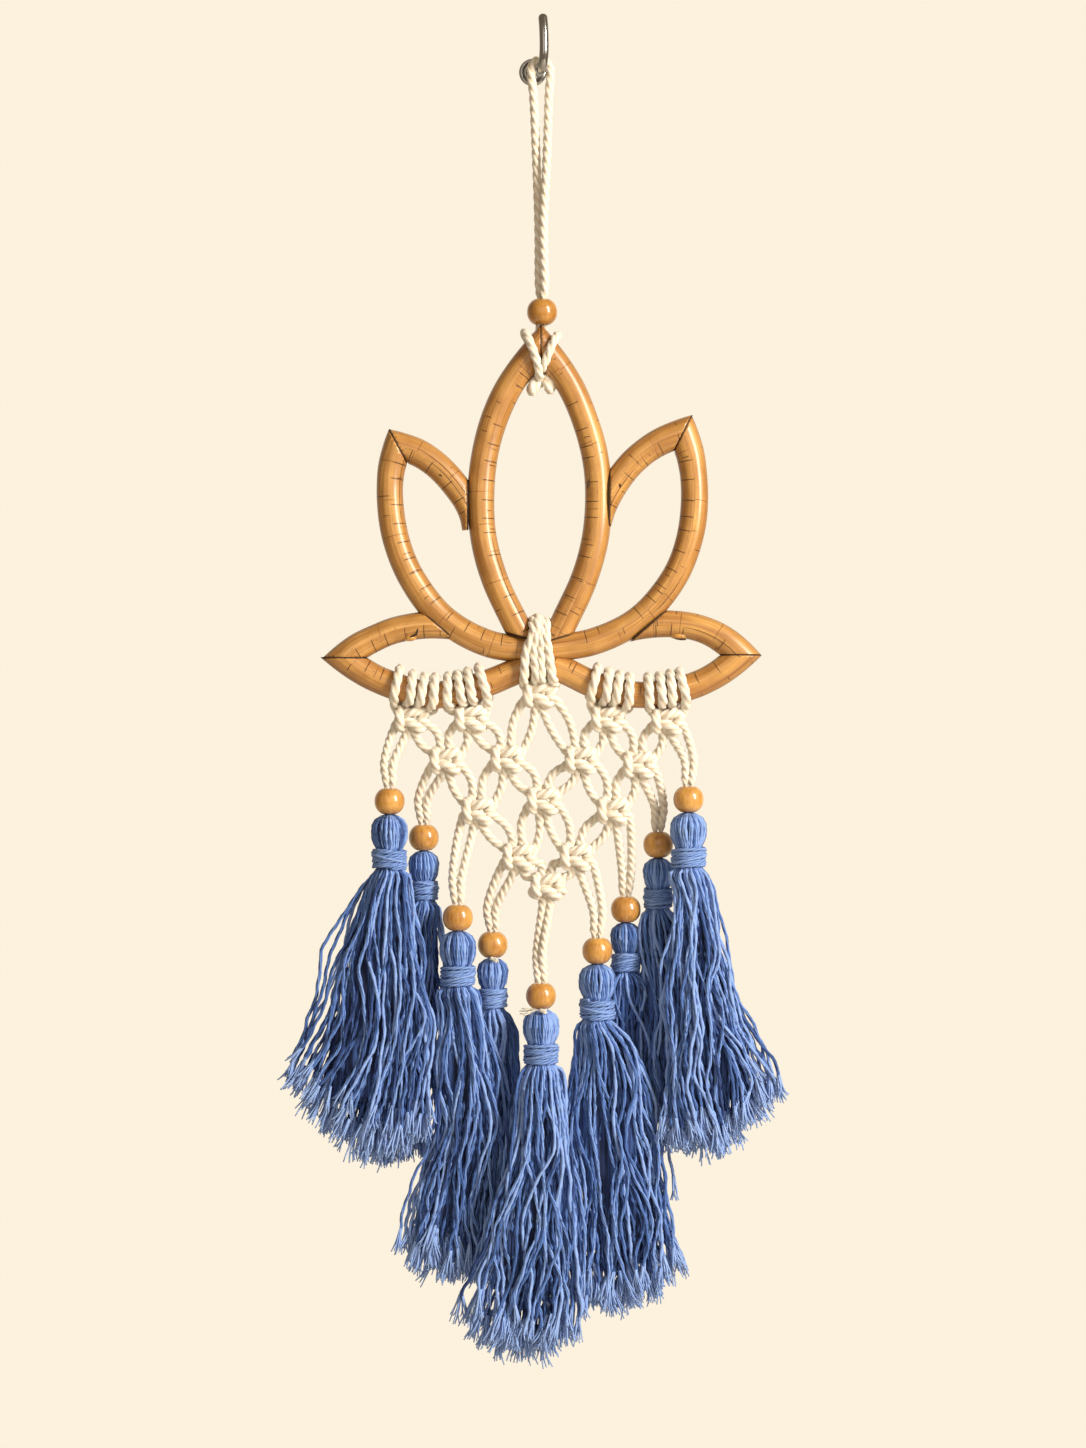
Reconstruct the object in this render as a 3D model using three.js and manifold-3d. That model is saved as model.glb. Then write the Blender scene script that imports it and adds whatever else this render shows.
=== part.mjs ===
// A lotus-shaped cane wall hanging with a macrame net and nine yarn tassels, on a wall hook.
// Millimetres, +Z up, the wall in the plane y = 0 and the hanging in front of it at negative y.
// The origin is the centre of the hook flange's back face.

import * as THREE from "three";
import { mergeVertices } from "three/addons/utils/BufferGeometryUtils.js";
import Module from "manifold-3d";

const wasm = await Module();
wasm.setup();

// Driving dimensions
const GAP = 0.3;
const HANG_X = 4;
const HANG_Y = -16;

const HOOK_TURN = 13.5;
const HOOK_WIRE_RADIUS = 2.2;
const HOOK_SIDES = 7;
const HOOK_STEPS = 10;
const FLANGE_RADIUS = 6.8;
const FLANGE_RIM = 1.1;
const FLANGE_DOME = 3.2;
const FLANGE_SIDES = 10;

const CANE_RADIUS = 6.1;
const CANE_SIDES = 8;
const CANE_STEPS = 8;

const CORD_RADIUS = 1.95;
const CORD_SIDES = 4;
const CORD_IN_BEAD = 0.72;

const HANGER_STEPS = 98;
const HANGER_LOBES = 3;
const HANGER_VALLEY = 0.8;
const HANGER_TURN = 50;

const BEAD_RADIUS = 7.1;
const BEAD_HEIGHT = 12.4;
const BORE_RADIUS = 3.6;
const BEAD_SIDES = 8;

const KNOT_HALF_WIDTH = 6.2;
const KNOT_HALF_HEIGHT = 5.8;
const KNOT_HALF_DEPTH = 4.4;
const KNOT_SIDES = 6;

const WRAP_CLEARANCE = 1.4;
const WRAP_RADIUS = CANE_RADIUS + WRAP_CLEARANCE + CORD_RADIUS;
const WRAP_STEPS = 7;

const HEAD_SIDES = 10;
const HEAD_GROOVE = 0.92;
const BINDING_HEIGHT = 10.4;
const BINDING_SIDES = 8;
const BINDING_DEPTH = 1.3;
const ROOT_HEIGHT = 5;
const LOCK_RADIUS = 2.6;
const LOCK_AT_ROOT = 0.4;
const LOCK_SIDES = 3;
const LOCK_STEPS = 2;

const degrees = THREE.MathUtils.degToRad;

// Materials
const steel = { color: 0x8d8f92, roughness: 0.25, metalness: 1 };
const cane = { color: 0xc58a45, roughness: 0.38, metalness: 0 };
const wood = { color: 0xd08a3c, roughness: 0.3, metalness: 0 };
const cotton = { color: 0xece2cd, roughness: 0.95, metalness: 0 };
const yarn = { color: 0x5f7fbf, roughness: 0.95, metalness: 0 };

// A closed geometry as a solid that can be joined and cut.
function solidOf(geometry) {
  const bare = geometry.clone();
  bare.deleteAttribute("normal");
  bare.deleteAttribute("uv");
  const merged = mergeVertices(bare, 1e-4);
  const triVerts = new Uint32Array(merged.index.array);
  const vertProperties = merged.attributes.position.array;
  return new wasm.Manifold(new wasm.Mesh({ numProp: 3, vertProperties, triVerts }));
}

function geometryOf(solid) {
  const mesh = solid.getMesh();
  const geometry = new THREE.BufferGeometry();
  geometry.setAttribute("position", new THREE.BufferAttribute(mesh.vertProperties, 3));
  geometry.setIndex(new THREE.BufferAttribute(mesh.triVerts, 1));
  return geometry;
}

function joined(geometries) {
  return geometries.map(solidOf).reduce((whole, piece) => whole.add(piece));
}

function vector(x, y, z) {
  return new THREE.Vector3(x, y, z);
}

function curveThrough(points) {
  return new THREE.CatmullRomCurve3(points, false, "centripetal");
}

// A round or star-shaped section: every second point lies at inner times the radius.
function section(radius, sides, inner = 1) {
  const points = [];
  for (let i = 0; i < sides; i++) {
    const angle = (i / sides) * Math.PI * 2;
    const reach = i % 2 ? radius * inner : radius;
    points.push(new THREE.Vector2(Math.cos(angle) * reach, Math.sin(angle) * reach));
  }
  return new THREE.Shape(points);
}

function tube(curve, radius, sides, steps, inner) {
  return new THREE.ExtrudeGeometry(section(radius, sides, inner), {
    steps,
    extrudePath: curve,
    bevelEnabled: false,
  });
}

// Moves each point of a tube: change(offset from the centreline, step's number, tangent, centre).
function reshaped(geometry, curve, steps, change) {
  const centres = curve.getSpacedPoints(steps);
  const { tangents } = curve.computeFrenetFrames(steps, false);
  const position = geometry.attributes.position;
  const point = new THREE.Vector3();
  for (let i = 0; i < position.count; i++) {
    point.fromBufferAttribute(position, i);
    let nearest = 0;
    for (let k = 1; k <= steps; k++) {
      if (point.distanceTo(centres[k]) < point.distanceTo(centres[nearest])) nearest = k;
    }
    point.sub(centres[nearest]);
    change(point, nearest, tangents[nearest], centres[nearest]);
    point.add(centres[nearest]);
    position.setXYZ(i, point.x, point.y, point.z);
  }
  return geometry;
}

const hanging = new THREE.Group();
hanging.position.set(HANG_X, HANG_Y, 0);
const dreamcatcher = new THREE.Group();
dreamcatcher.add(hanging);

function piece(group, name, geometry, look) {
  const mesh = new THREE.Mesh(geometry, new THREE.MeshStandardMaterial(look));
  mesh.name = name;
  group.add(mesh);
  return mesh;
}

// The wall hook: a domed flange on the wall and a wire that runs out, dips and turns up.
const HOOK_WIRE = [
  { out: 1, up: 0 },
  { out: 8, up: 0 },
  { out: 13, up: -1.5 },
  { out: 17, up: -1.6 },
  { out: 21.5, up: 1.5 },
  { out: 23.4, up: 8 },
  { out: 22.4, up: 16 },
  { out: 20, up: 22.6 },
];

function wallHook() {
  const flange = new THREE.LatheGeometry(
    [
      new THREE.Vector2(0, 0),
      new THREE.Vector2(FLANGE_RADIUS, 0),
      new THREE.Vector2(FLANGE_RADIUS, FLANGE_RIM),
      new THREE.Vector2(FLANGE_RADIUS * 0.75, FLANGE_DOME * 0.75),
      new THREE.Vector2(0, FLANGE_DOME),
    ],
    FLANGE_SIDES,
  );
  flange.rotateX(Math.PI);
  const wire = curveThrough(HOOK_WIRE.map((at) => vector(0, -at.out, at.up)));
  const tip = HOOK_WIRE.at(-1);
  const end = new THREE.SphereGeometry(HOOK_WIRE_RADIUS, HOOK_SIDES, 4);
  end.translate(0, -tip.out, tip.up);
  const arm = joined([tube(wire, HOOK_WIRE_RADIUS, HOOK_SIDES, HOOK_STEPS), end]);
  const turned = geometryOf(arm);
  turned.rotateZ(degrees(HOOK_TURN));
  return geometryOf(solidOf(turned).add(solidOf(flange)));
}

piece(dreamcatcher, "wall_hook", wallHook(), steel);

// The ten canes, as centrelines in the frame's plane, from the tip's mitre on.
const CANES = {
  centre_left: [
    [0, -133], [-13.8, -150], [-22.4, -168.1], [-27.2, -187.1], [-28.6, -206.2],
    [-27.2, -225.2], [-21.9, -244.3], [-13, -263.3], [-7.6, -273],
  ],
  centre_right: [
    [0, -133], [12.4, -150], [20.9, -168.1], [26, -187.1], [27.4, -206.2],
    [26, -225.2], [20.9, -244.3], [12.4, -263.3], [7.6, -273],
  ],
  side_left_outer: [
    [-68.1, -180.5], [-71.6, -192], [-71.9, -206.2], [-69.3, -225.2], [-62.4, -244.3],
    [-47.1, -263.3], [-24.3, -274.8], [0, -277.6],
  ],
  side_left_inner: [
    [-68.1, -180.5], [-60, -183.3], [-51.9, -188.6], [-44.8, -195.7], [-39, -204.3],
    [-34.8, -213.3], [-32.4, -223],
  ],
  side_right_outer: [
    [67.6, -174.3], [71.9, -187.1], [73.1, -206.2], [71, -225.2], [63.8, -244.3],
    [47.1, -263.3], [25.7, -273.8], [0, -277.6],
  ],
  side_right_inner: [
    [67.6, -174.3], [57.6, -178.1], [49.5, -182.4], [41.9, -189], [36.2, -196.7],
    [32.9, -205.2], [31.2, -217],
  ],
  low_left_upper: [
    [-93.8, -281.4], [-87.1, -276], [-79, -271.4], [-70.5, -268.1], [-61.4, -266.4],
    [-52.9, -266], [-43.3, -268.1],
  ],
  low_left_lower: [
    [-93.8, -281.4], [-87.6, -286], [-80, -290.5], [-70.5, -294.5], [-60, -297.9],
    [-50.5, -299], [-38.6, -297.6], [-24.3, -292.9], [-10, -287.1], [0, -284.3],
  ],
  low_right_upper: [
    [95.2, -280], [88.6, -274.8], [81.4, -270.5], [73.8, -267.4], [66.2, -265.7],
    [56.7, -265.2], [43.3, -269],
  ],
  low_right_lower: [
    [95.2, -280], [89, -284.8], [81.9, -289], [74.3, -293.1], [66.2, -296],
    [56.7, -298.3], [47.1, -299], [35.2, -297.4], [23.3, -293.3], [11.4, -287.6], [0, -283.8],
  ],
};

// Each petal's mitre: the seam's middle, its direction towards the tip, and the two canes there.
const MITRES = [
  { x: 0, z: -133, alongX: 0, alongZ: 1, first: "centre_left", second: "centre_right" },
  { x: -68.1, z: -180.5, alongX: -20, alongZ: 37, first: "side_left_outer", second: "side_left_inner" },
  { x: 67.6, z: -174.3, alongX: 19, alongZ: 38, first: "side_right_inner", second: "side_right_outer" },
  { x: -93.8, z: -281.4, alongX: -1, alongZ: 0, first: "low_left_lower", second: "low_left_upper" },
  { x: 95.2, z: -280, alongX: 1, alongZ: 0, first: "low_right_upper", second: "low_right_lower" },
];

// The canes that end against another, and the cane that carries them.
const COPED = [
  ["side_left_inner", "centre_left"],
  ["side_right_inner", "centre_right"],
  ["low_left_upper", "side_left_outer"],
  ["low_right_upper", "side_right_outer"],
  ["low_left_lower", "side_left_outer"],
  ["low_right_lower", "side_right_outer"],
  ["centre_left", "side_left_outer"],
  ["centre_right", "side_right_outer"],
];
const PAST_THE_MITRE = 12;
const MEETING_AT_CENTRE = ["side_left_outer", "low_left_lower", "side_right_outer", "low_right_lower"];
const CENTRE_Z = -280;

// A cane's centreline, run on past its mitre with the same bend.
function caneCurve(name) {
  const points = CANES[name].map(([x, z]) => vector(x, 0, z));
  const [first, second, third] = points;
  const run = first.clone().sub(second).setLength(PAST_THE_MITRE);
  const nextRun = second.clone().sub(third).setLength(PAST_THE_MITRE);
  const before = first.clone().addScaledVector(run, 1.5).addScaledVector(nextRun, -0.5);
  return curveThrough([before, ...points]);
}

function caneSolid(name, radius) {
  return solidOf(tube(caneCurve(name), radius, CANE_SIDES, CANE_STEPS + 1));
}

// The space on one side of a plane that holds the y axis, as a large block.
function halfSpace(x, z, towardX, towardZ, setBack) {
  const size = 160;
  const block = new THREE.BoxGeometry(size, size, size);
  block.translate(size / 2 - setBack, 0, 0);
  block.rotateY(-Math.atan2(towardZ, towardX));
  block.translate(x, 0, z);
  return solidOf(block);
}

function canes() {
  const solids = {};
  for (const name of Object.keys(CANES)) solids[name] = caneSolid(name, CANE_RADIUS);
  for (const m of MITRES) {
    const acrossX = m.alongZ;
    const acrossZ = -m.alongX;
    solids[m.first] = solids[m.first].subtract(halfSpace(m.x, m.z, acrossX, acrossZ, GAP / 2));
    solids[m.second] = solids[m.second].subtract(halfSpace(m.x, m.z, -acrossX, -acrossZ, GAP / 2));
  }
  for (const [name, carrier] of COPED) {
    solids[name] = solids[name].subtract(caneSolid(carrier, CANE_RADIUS + GAP));
  }
  for (const name of MEETING_AT_CENTRE) {
    const side = Math.sign(CANES[name][0][0]);
    solids[name] = solids[name].subtract(halfSpace(0, CENTRE_Z, -side, 0, GAP / 2));
  }
  return solids;
}

const caneSolids = canes();
for (const [name, solid] of Object.entries(caneSolids)) {
  piece(hanging, "cane_" + name, geometryOf(solid), cane);
}

// A turned bead with its bore upright, centred on the origin.
function bead() {
  const half = BEAD_HEIGHT / 2;
  const profile = [
    [BORE_RADIUS, -half],
    [BEAD_RADIUS * 0.82, -half * 0.72],
    [BEAD_RADIUS, 0],
    [BEAD_RADIUS * 0.82, half * 0.72],
    [BORE_RADIUS, half],
    [BORE_RADIUS, -half],
  ].map(([r, up]) => new THREE.Vector2(r, up));
  return new THREE.LatheGeometry(profile, BEAD_SIDES).rotateX(Math.PI / 2);
}

const TOP_BEAD = { x: 0.5, z: -116.7 };
const topBead = piece(hanging, "top_bead", bead(), wood);
topBead.position.set(TOP_BEAD.x, 0, TOP_BEAD.z);

// The hanging cord, one length from behind the apex round to behind the apex again.
const HANGER_ROUTE = [
  [-0.2, 9.4, -150], [-0.4, 3.5, -148.6], [-0.7, -4, -147.4], [-1.4, -8.2, -143],
  [-3.6, -8.6, -136], [-6, -7.2, -130.2], [-7.6, -2.6, -127.6], [-7.2, 2.6, -126.8],
  [-4.8, 5.8, -127], [-2.2, 4, -125.6], [-1, 1, -123.2], [-0.9, 1, -116.7],
  [-0.3, 1.2, -110.4], [-0.9, 1.8, -104], [-1.1, 1.8, -77.6], [-2.4, 1.2, -39.5],
  [-3.6, -0.4, -14], [-4.7, -1.1, -3], [-4.4, -1.1, 0.3], [-2.8, -0.7, 2.5],
  [-0.2, 0, 3.3], [2.5, 0.7, 2.5], [4.1, 1.1, 0.3], [4.4, 1.1, -3],
  [3.7, 0.4, -14], [2.9, -1.2, -39.5], [1.2, -1.8, -77.6], [1.8, -1.8, -104],
  [1.3, -1.3, -110.4], [1.7, -0.4, -116.7], [1.8, 1, -123.2], [3, 4, -125.6],
  [5, 5.8, -127.2], [7.4, 2.6, -127.8], [7.6, -2.6, -128.8], [6, -7.2, -131.2],
  [3.7, -8.6, -137], [1.2, -8.2, -143.4],
];
const HITCH_KNOT = { y: 9.8, z: -151, radius: 4.2 };
const HITCH_TAILS = [{ startX: -1, endX: -3.5, endZ: -162 }, { startX: 2, endX: 4, endZ: -160 }];

function hangingCord() {
  const route = curveThrough(HANGER_ROUTE.map((at) => vector(...at)));
  const rope = tube(route, CORD_RADIUS, HANGER_LOBES * 2, HANGER_STEPS, HANGER_VALLEY);
  const beadTop = TOP_BEAD.z + BEAD_HEIGHT / 2;
  const beadFoot = TOP_BEAD.z - BEAD_HEIGHT / 2;
  reshaped(rope, route, HANGER_STEPS, (offset, step, tangent, centre) => {
    offset.applyAxisAngle(tangent, degrees(HANGER_TURN * step));
    const held = centre.z < beadTop + 1 && centre.z > beadFoot - 2;
    if (held) offset.multiplyScalar(CORD_IN_BEAD);
  });
  const knot = new THREE.SphereGeometry(HITCH_KNOT.radius, 8, 5);
  knot.translate(0, HITCH_KNOT.y, HITCH_KNOT.z);
  const tails = HITCH_TAILS.map(({ startX, endX, endZ }) => {
    const from = vector(startX, HITCH_KNOT.y, HITCH_KNOT.z);
    const middle = vector(endX, HITCH_KNOT.y + 1, (HITCH_KNOT.z + endZ) / 2);
    const to = vector(endX, HITCH_KNOT.y, endZ);
    return tube(curveThrough([from, middle, to]), CORD_RADIUS * 0.9, CORD_SIDES, 3);
  });
  return geometryOf(joined([rope, knot, ...tails]));
}

piece(hanging, "hanging_cord", hangingCord(), cotton);

// The net's square knots, row by row from the top.
const KNOT_ROWS = [
  [
    { x: -62.4, z: -310.4 }, { x: -33.8, z: -310.2 }, { x: -1.4, z: -298.8 },
    { x: 31, z: -310.4 }, { x: 59.5, z: -311.4 },
  ],
  [{ x: -45.7, z: -330.5 }, { x: -16.7, z: -329.5 }, { x: 18.6, z: -330 }, { x: 46.2, z: -332.4 }],
  [{ x: -30.5, z: -354.3 }, { x: 0.5, z: -349.5 }, { x: 33.8, z: -354.3 }],
  [{ x: -11, z: -376.2 }, { x: 16.2, z: -376.2 }],
  [{ x: 2.4, z: -390 }],
];

function cordAlong(points, steps) {
  return tube(curveThrough(points), CORD_RADIUS, CORD_SIDES, steps);
}

// A square knot as one body: the bars across it are the wide rings, the groove between them is the
// narrow one, and the ear is raised at the left. Shares of its half width and half height.
const KNOT_PROFILE = [
  { wide: 0, up: -0.95 },
  { wide: 0.98, up: -0.62 },
  { wide: 0.74, up: 0 },
  { wide: 0.98, up: 0.62 },
  { wide: 0, up: 0.95 },
];
const KNOT_SLANT = 0.14;
const KNOT_EAR = 1.3;

function knot(at) {
  const profile = KNOT_PROFILE.map(
    (ring) => new THREE.Vector2(ring.wide * KNOT_HALF_WIDTH, ring.up * KNOT_HALF_HEIGHT),
  );
  const body = new THREE.LatheGeometry(profile, KNOT_SIDES).rotateX(Math.PI / 2);
  const position = body.attributes.position;
  for (let i = 0; i < position.count; i++) {
    const x = position.getX(i);
    const inGroove = Math.abs(position.getZ(i)) < 0.1;
    const onEar = inGroove && x < -KNOT_HALF_WIDTH * 0.4;
    position.setX(i, onEar ? x * KNOT_EAR : x);
    position.setZ(i, position.getZ(i) - x * KNOT_SLANT);
  }
  body.scale(1, KNOT_HALF_DEPTH / KNOT_HALF_WIDTH, 1);
  return body.translate(at.x, 0, at.z);
}

// The two strands of a link bow apart on their way from one knot to the next.
const LINK_BOW = 5.2;
const LINK_START = 3.4;
const LINK_APART = 2;

function link(from, to) {
  const along = vector(to.x - from.x, 0, to.z - from.z).normalize();
  const across = vector(-along.z, 0, along.x);
  return [-1, 1].map((side) => {
    const start = vector(from.x, 0, from.z).addScaledVector(along, LINK_START);
    start.addScaledVector(across, side * LINK_APART);
    const end = vector(to.x, 0, to.z).addScaledVector(along, -LINK_START);
    end.addScaledVector(across, side * LINK_APART);
    const middle = start.clone().lerp(end, 0.5).addScaledVector(across, side * LINK_BOW);
    middle.y = side * 0.8;
    return cordAlong([start, middle, end], 3);
  });
}

// The wraps round the lower canes: where each crosses the cane, its lean, and the knot it joins.
const CANE_WRAPS = [
  { x: -68.8, lean: -11, knot: 0 }, { x: -61.6, lean: -4, knot: 0 },
  { x: -56.6, lean: -9, knot: 0 }, { x: -50.8, lean: -3, knot: 0 },
  { x: -44.3, lean: 0, knot: 1 }, { x: -38.3, lean: 10, knot: 1 },
  { x: -33.4, lean: 11, knot: 1 }, { x: -27.2, lean: 18, knot: 1 },
  { x: 25, lean: -14, knot: 3 }, { x: 31.5, lean: -5, knot: 3 },
  { x: 36.2, lean: -9, knot: 3 }, { x: 41.9, lean: -2, knot: 3 },
  { x: 51.4, lean: 3, knot: 4 }, { x: 57.4, lean: 7, knot: 4 },
  { x: 62.2, lean: 5, knot: 4 }, { x: 67.8, lean: 15, knot: 4 },
];
const WRAP_ANGLES = [-62, -15, 35, 90, 145, 195, 242];

// The height of a lower cane's centreline at x.
function lowerCaneHeight(x) {
  const curve = caneCurve(x < 0 ? "low_left_lower" : "low_right_lower");
  const points = curve.getPoints(200);
  return points.reduce((best, p) => (Math.abs(p.x - x) < Math.abs(best.x - x) ? p : best)).z;
}

function caneWrap(wrap) {
  const z = lowerCaneHeight(wrap.x);
  const knotAt = KNOT_ROWS[0][wrap.knot];
  const lean = degrees(wrap.lean);
  const ring = WRAP_ANGLES.map((angle) => {
    const up = Math.sin(degrees(angle)) * WRAP_RADIUS;
    const out = -Math.cos(degrees(angle)) * WRAP_RADIUS;
    return vector(wrap.x - Math.sin(lean) * up, out, z + Math.cos(lean) * up);
  });
  const inKnotX = knotAt.x + Math.max(-3.5, Math.min(3.5, (wrap.x - knotAt.x) * 0.6));
  const front = vector(inKnotX, -1.5, knotAt.z + 1);
  const back = vector(inKnotX, 1.5, knotAt.z + 1);
  return cordAlong([front, ...ring, back], WRAP_STEPS);
}

// The four strands that hold the middle of the frame, from the crotch of the top petal down.
const CENTRE_WRAPS = [
  { topX: -3.1, footX: -7.4 }, { topX: -1.2, footX: -3 },
  { topX: 1.2, footX: 0.6 }, { topX: 3.1, footX: 5 },
];
const CENTRE_WRAP = { top: -261.6, foot: -292, crossing: 4, shoulder: 8.55, front: 8.75, atFoot: 7.15 };

function centreWrap({ topX, footX }) {
  const { top, foot, crossing, shoulder, front, atFoot } = CENTRE_WRAP;
  const middleX = (topX + footX) / 2;
  const middleZ = (top + foot) / 2;
  const run = (side) => [
    vector(footX, side * atFoot, foot),
    vector(middleX, side * front, middleZ),
    vector(topX, side * shoulder, top - 5),
    vector(topX, side * crossing, top),
  ];
  const knotAt = KNOT_ROWS[0][2];
  const inKnot = (side) => vector(knotAt.x + (footX - knotAt.x) * 0.6, side * 1.5, knotAt.z + 1.5);
  return cordAlong([inKnot(-1), ...run(-1), ...run(1).reverse(), inKnot(1)], WRAP_STEPS + 2);
}

// The nine tassels from left to right: the bead's centre, then the skirt's depth, and its middle and
// its tips as centre, half width and height. The tips on one side lie higher by rise.
const FRONT = { y: -5.5, headRadius: 8.6, headHeight: 15.6, locks: 11, halfDepth: 5 };
const BEHIND = { y: 6.2, headRadius: 7.2, headHeight: 13.4, locks: 7, halfDepth: 3.8 };
const TASSEL_COLUMNS = [
  "kind", "x", "z", "skirtY", "midX", "midHalf", "midZ", "tipX", "tipHalf", "tipZ", "rise",
];
const TASSELS = [
  [FRONT, -71.9, -349.5, -11, -76.7, 24, -444, -86.5, 32, -513, -18],
  [BEHIND, -56, -367.1, 7.4, -61.4, 11, -449, -65.2, 13.5, -520, 0],
  [FRONT, -39.5, -404.8, -6.5, -36.2, 15, -497, -41, 22, -570, -8],
  [BEHIND, -23.1, -418.3, 8.2, -21.9, 10.5, -482, -23.3, 12.5, -552, 0],
  [FRONT, 0, -441.9, -20, -1.4, 16, -530, -6, 25, -604, -8],
  [FRONT, 26.7, -420.5, -6.5, 31.9, 17, -501, 40, 23, -580, 8],
  [BEHIND, 40.5, -401.4, 8.4, 41.5, 8.5, -468, 45, 9.5, -535, 0],
  [BEHIND, 56, -370.5, 5, 60.5, 9.5, -449, 67.5, 11.5, -518, 0],
  [FRONT, 70, -348.6, -11, 79.5, 21, -444, 88, 26, -512, 18],
].map((row) => Object.fromEntries(row.map((value, i) => [TASSEL_COLUMNS[i], value])));

// The leads from a knot's lower corner to each tassel's bead, by tassel.
const LEADS = [
  { row: 0, column: 0, side: -1 }, { row: 1, column: 0, side: -1 }, { row: 2, column: 0, side: -1 },
  { row: 3, column: 0, side: -1 }, { row: 4, column: 0, side: 0 }, { row: 3, column: 1, side: 1 },
  { row: 2, column: 2, side: 1 }, { row: 1, column: 3, side: 1 }, { row: 0, column: 4, side: 1 },
];
const LEAD_STEPS = 5;
const STRAND_IN_BORE = 1.45;

function leads(tassel, { row, column, side }) {
  const from = KNOT_ROWS[row][column];
  const beadTop = tassel.z + BEAD_HEIGHT / 2;
  const beadFoot = tassel.z - BEAD_HEIGHT / 2;
  return [-1, 1].map((strand) => {
    const start = vector(from.x + side * 4 + strand * LINK_APART, 0, from.z - 3.4);
    const inX = tassel.x + strand * STRAND_IN_BORE;
    const middle = start.clone().lerp(vector(inX, tassel.kind.y, beadTop), 0.5);
    middle.x += strand * 1.4 + side * 1.2;
    const route = curveThrough([
      start,
      middle,
      vector(inX, tassel.kind.y, beadTop + 3),
      vector(inX, tassel.kind.y, beadFoot),
    ]);
    return reshaped(tube(route, CORD_RADIUS, CORD_SIDES, LEAD_STEPS), route, LEAD_STEPS, (offset, k, t, centre) => {
      if (centre.z < beadTop + 3) offset.multiplyScalar(CORD_IN_BEAD);
    });
  });
}

function macrameNet() {
  const cords = KNOT_ROWS.flat().map(knot);
  for (let row = 1; row < KNOT_ROWS.length; row++) {
    KNOT_ROWS[row].forEach((at, column) => {
      cords.push(...link(KNOT_ROWS[row - 1][column], at));
      cords.push(...link(KNOT_ROWS[row - 1][column + 1], at));
    });
  }
  cords.push(...CANE_WRAPS.map(caneWrap), ...CENTRE_WRAPS.map(centreWrap));
  TASSELS.forEach((tassel, i) => cords.push(...leads(tassel, LEADS[i])));
  return geometryOf(joined(cords));
}

piece(hanging, "macrame_net", macrameNet(), cotton);

// The head's profile as shares of its radius and height, from the top down to the neck.
const HEAD_PROFILE = [
  { wide: 0.4, down: 0 },
  { wide: 0.82, down: 0.14 },
  { wide: 1, down: 0.45 },
  { wide: 0.92, down: 0.84 },
];

function tasselHead(kind) {
  const neck = neckRadius(kind);
  const neckFoot = kind.headHeight + BINDING_HEIGHT + 2 * GAP;
  const profile = [
    new THREE.Vector2(0, -neckFoot - ROOT_HEIGHT),
    new THREE.Vector2(neck + 2.4, -neckFoot - ROOT_HEIGHT),
    new THREE.Vector2(neck, -neckFoot),
    new THREE.Vector2(neck, -kind.headHeight),
    ...HEAD_PROFILE.toReversed().map(
      (at) => new THREE.Vector2(at.wide * kind.headRadius, -at.down * kind.headHeight),
    ),
    new THREE.Vector2(0, 0),
  ];
  const head = new THREE.LatheGeometry(profile, HEAD_SIDES).rotateX(Math.PI / 2);
  const position = head.attributes.position;
  for (let i = 0; i < position.count; i++) {
    const turn = Math.atan2(position.getX(i), position.getY(i)) / (2 * Math.PI);
    const side = Math.round(turn * HEAD_SIDES);
    const onHead = position.getZ(i) > -kind.headHeight && position.getZ(i) < -0.01;
    if (side % 2 === 0 || !onHead) continue;
    position.setX(i, position.getX(i) * HEAD_GROOVE);
    position.setY(i, position.getY(i) * HEAD_GROOVE);
  }
  return head;
}

function neckRadius(kind) {
  return kind.headRadius - BINDING_DEPTH - 1;
}

// A small value between -1 and 1 that differs from one lock to the next.
function unevenness(i) {
  return Math.sin(i * 2.4) * 0.6 + Math.sin(i * 5.1) * 0.4;
}

function skirtLock(tassel, i) {
  const { kind } = tassel;
  const angle = ((i + 0.5) / kind.locks) * Math.PI * 2;
  const across = Math.cos(angle);
  const deep = Math.sin(angle);
  const headTop = tassel.z - BEAD_HEIGHT / 2 - GAP;
  const rootZ = headTop - kind.headHeight - BINDING_HEIGHT - ROOT_HEIGHT;
  const root = neckRadius(kind) + 0.6;
  const uneven = unevenness(i);
  const tipZ = tassel.tipZ + Math.max(0, across * tassel.rise) + uneven * 6;
  const route = curveThrough([
    vector(tassel.x + across * root, kind.y + deep * root, rootZ + 1.2),
    vector(
      tassel.midX + across * tassel.midHalf * (0.94 + uneven * 0.06),
      tassel.skirtY + deep * kind.halfDepth,
      tassel.midZ,
    ),
    vector(
      tassel.tipX + across * tassel.tipHalf * (0.94 + uneven * 0.06),
      tassel.skirtY + deep * kind.halfDepth,
      tipZ,
    ),
  ]);
  return reshaped(tube(route, LOCK_RADIUS, LOCK_SIDES, LOCK_STEPS), route, LOCK_STEPS, (offset, step) => {
    if (step === 0) offset.multiplyScalar(LOCK_AT_ROOT);
  });
}

function tasselSolid(tassel) {
  const head = tasselHead(tassel.kind);
  head.translate(tassel.x, tassel.kind.y, tassel.z - BEAD_HEIGHT / 2 - GAP);
  const locks = [];
  for (let i = 0; i < tassel.kind.locks; i++) locks.push(skirtLock(tassel, i));
  return geometryOf(joined([head, ...locks]));
}

// The yarn wound round a tassel's neck, in broad turns.
function binding(kind) {
  const inner = neckRadius(kind) + GAP + 0.5;
  const outer = neckRadius(kind) + BINDING_DEPTH + 0.6;
  const half = BINDING_HEIGHT / 2;
  const profile = [
    [inner, -half], [outer - 0.5, -half], [outer, -half / 2], [outer - 0.5, 0],
    [outer, half / 2], [outer - 0.5, half], [inner, half], [inner, -half],
  ].map(([r, up]) => new THREE.Vector2(r, up));
  return new THREE.LatheGeometry(profile, BINDING_SIDES).rotateX(Math.PI / 2);
}

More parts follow.
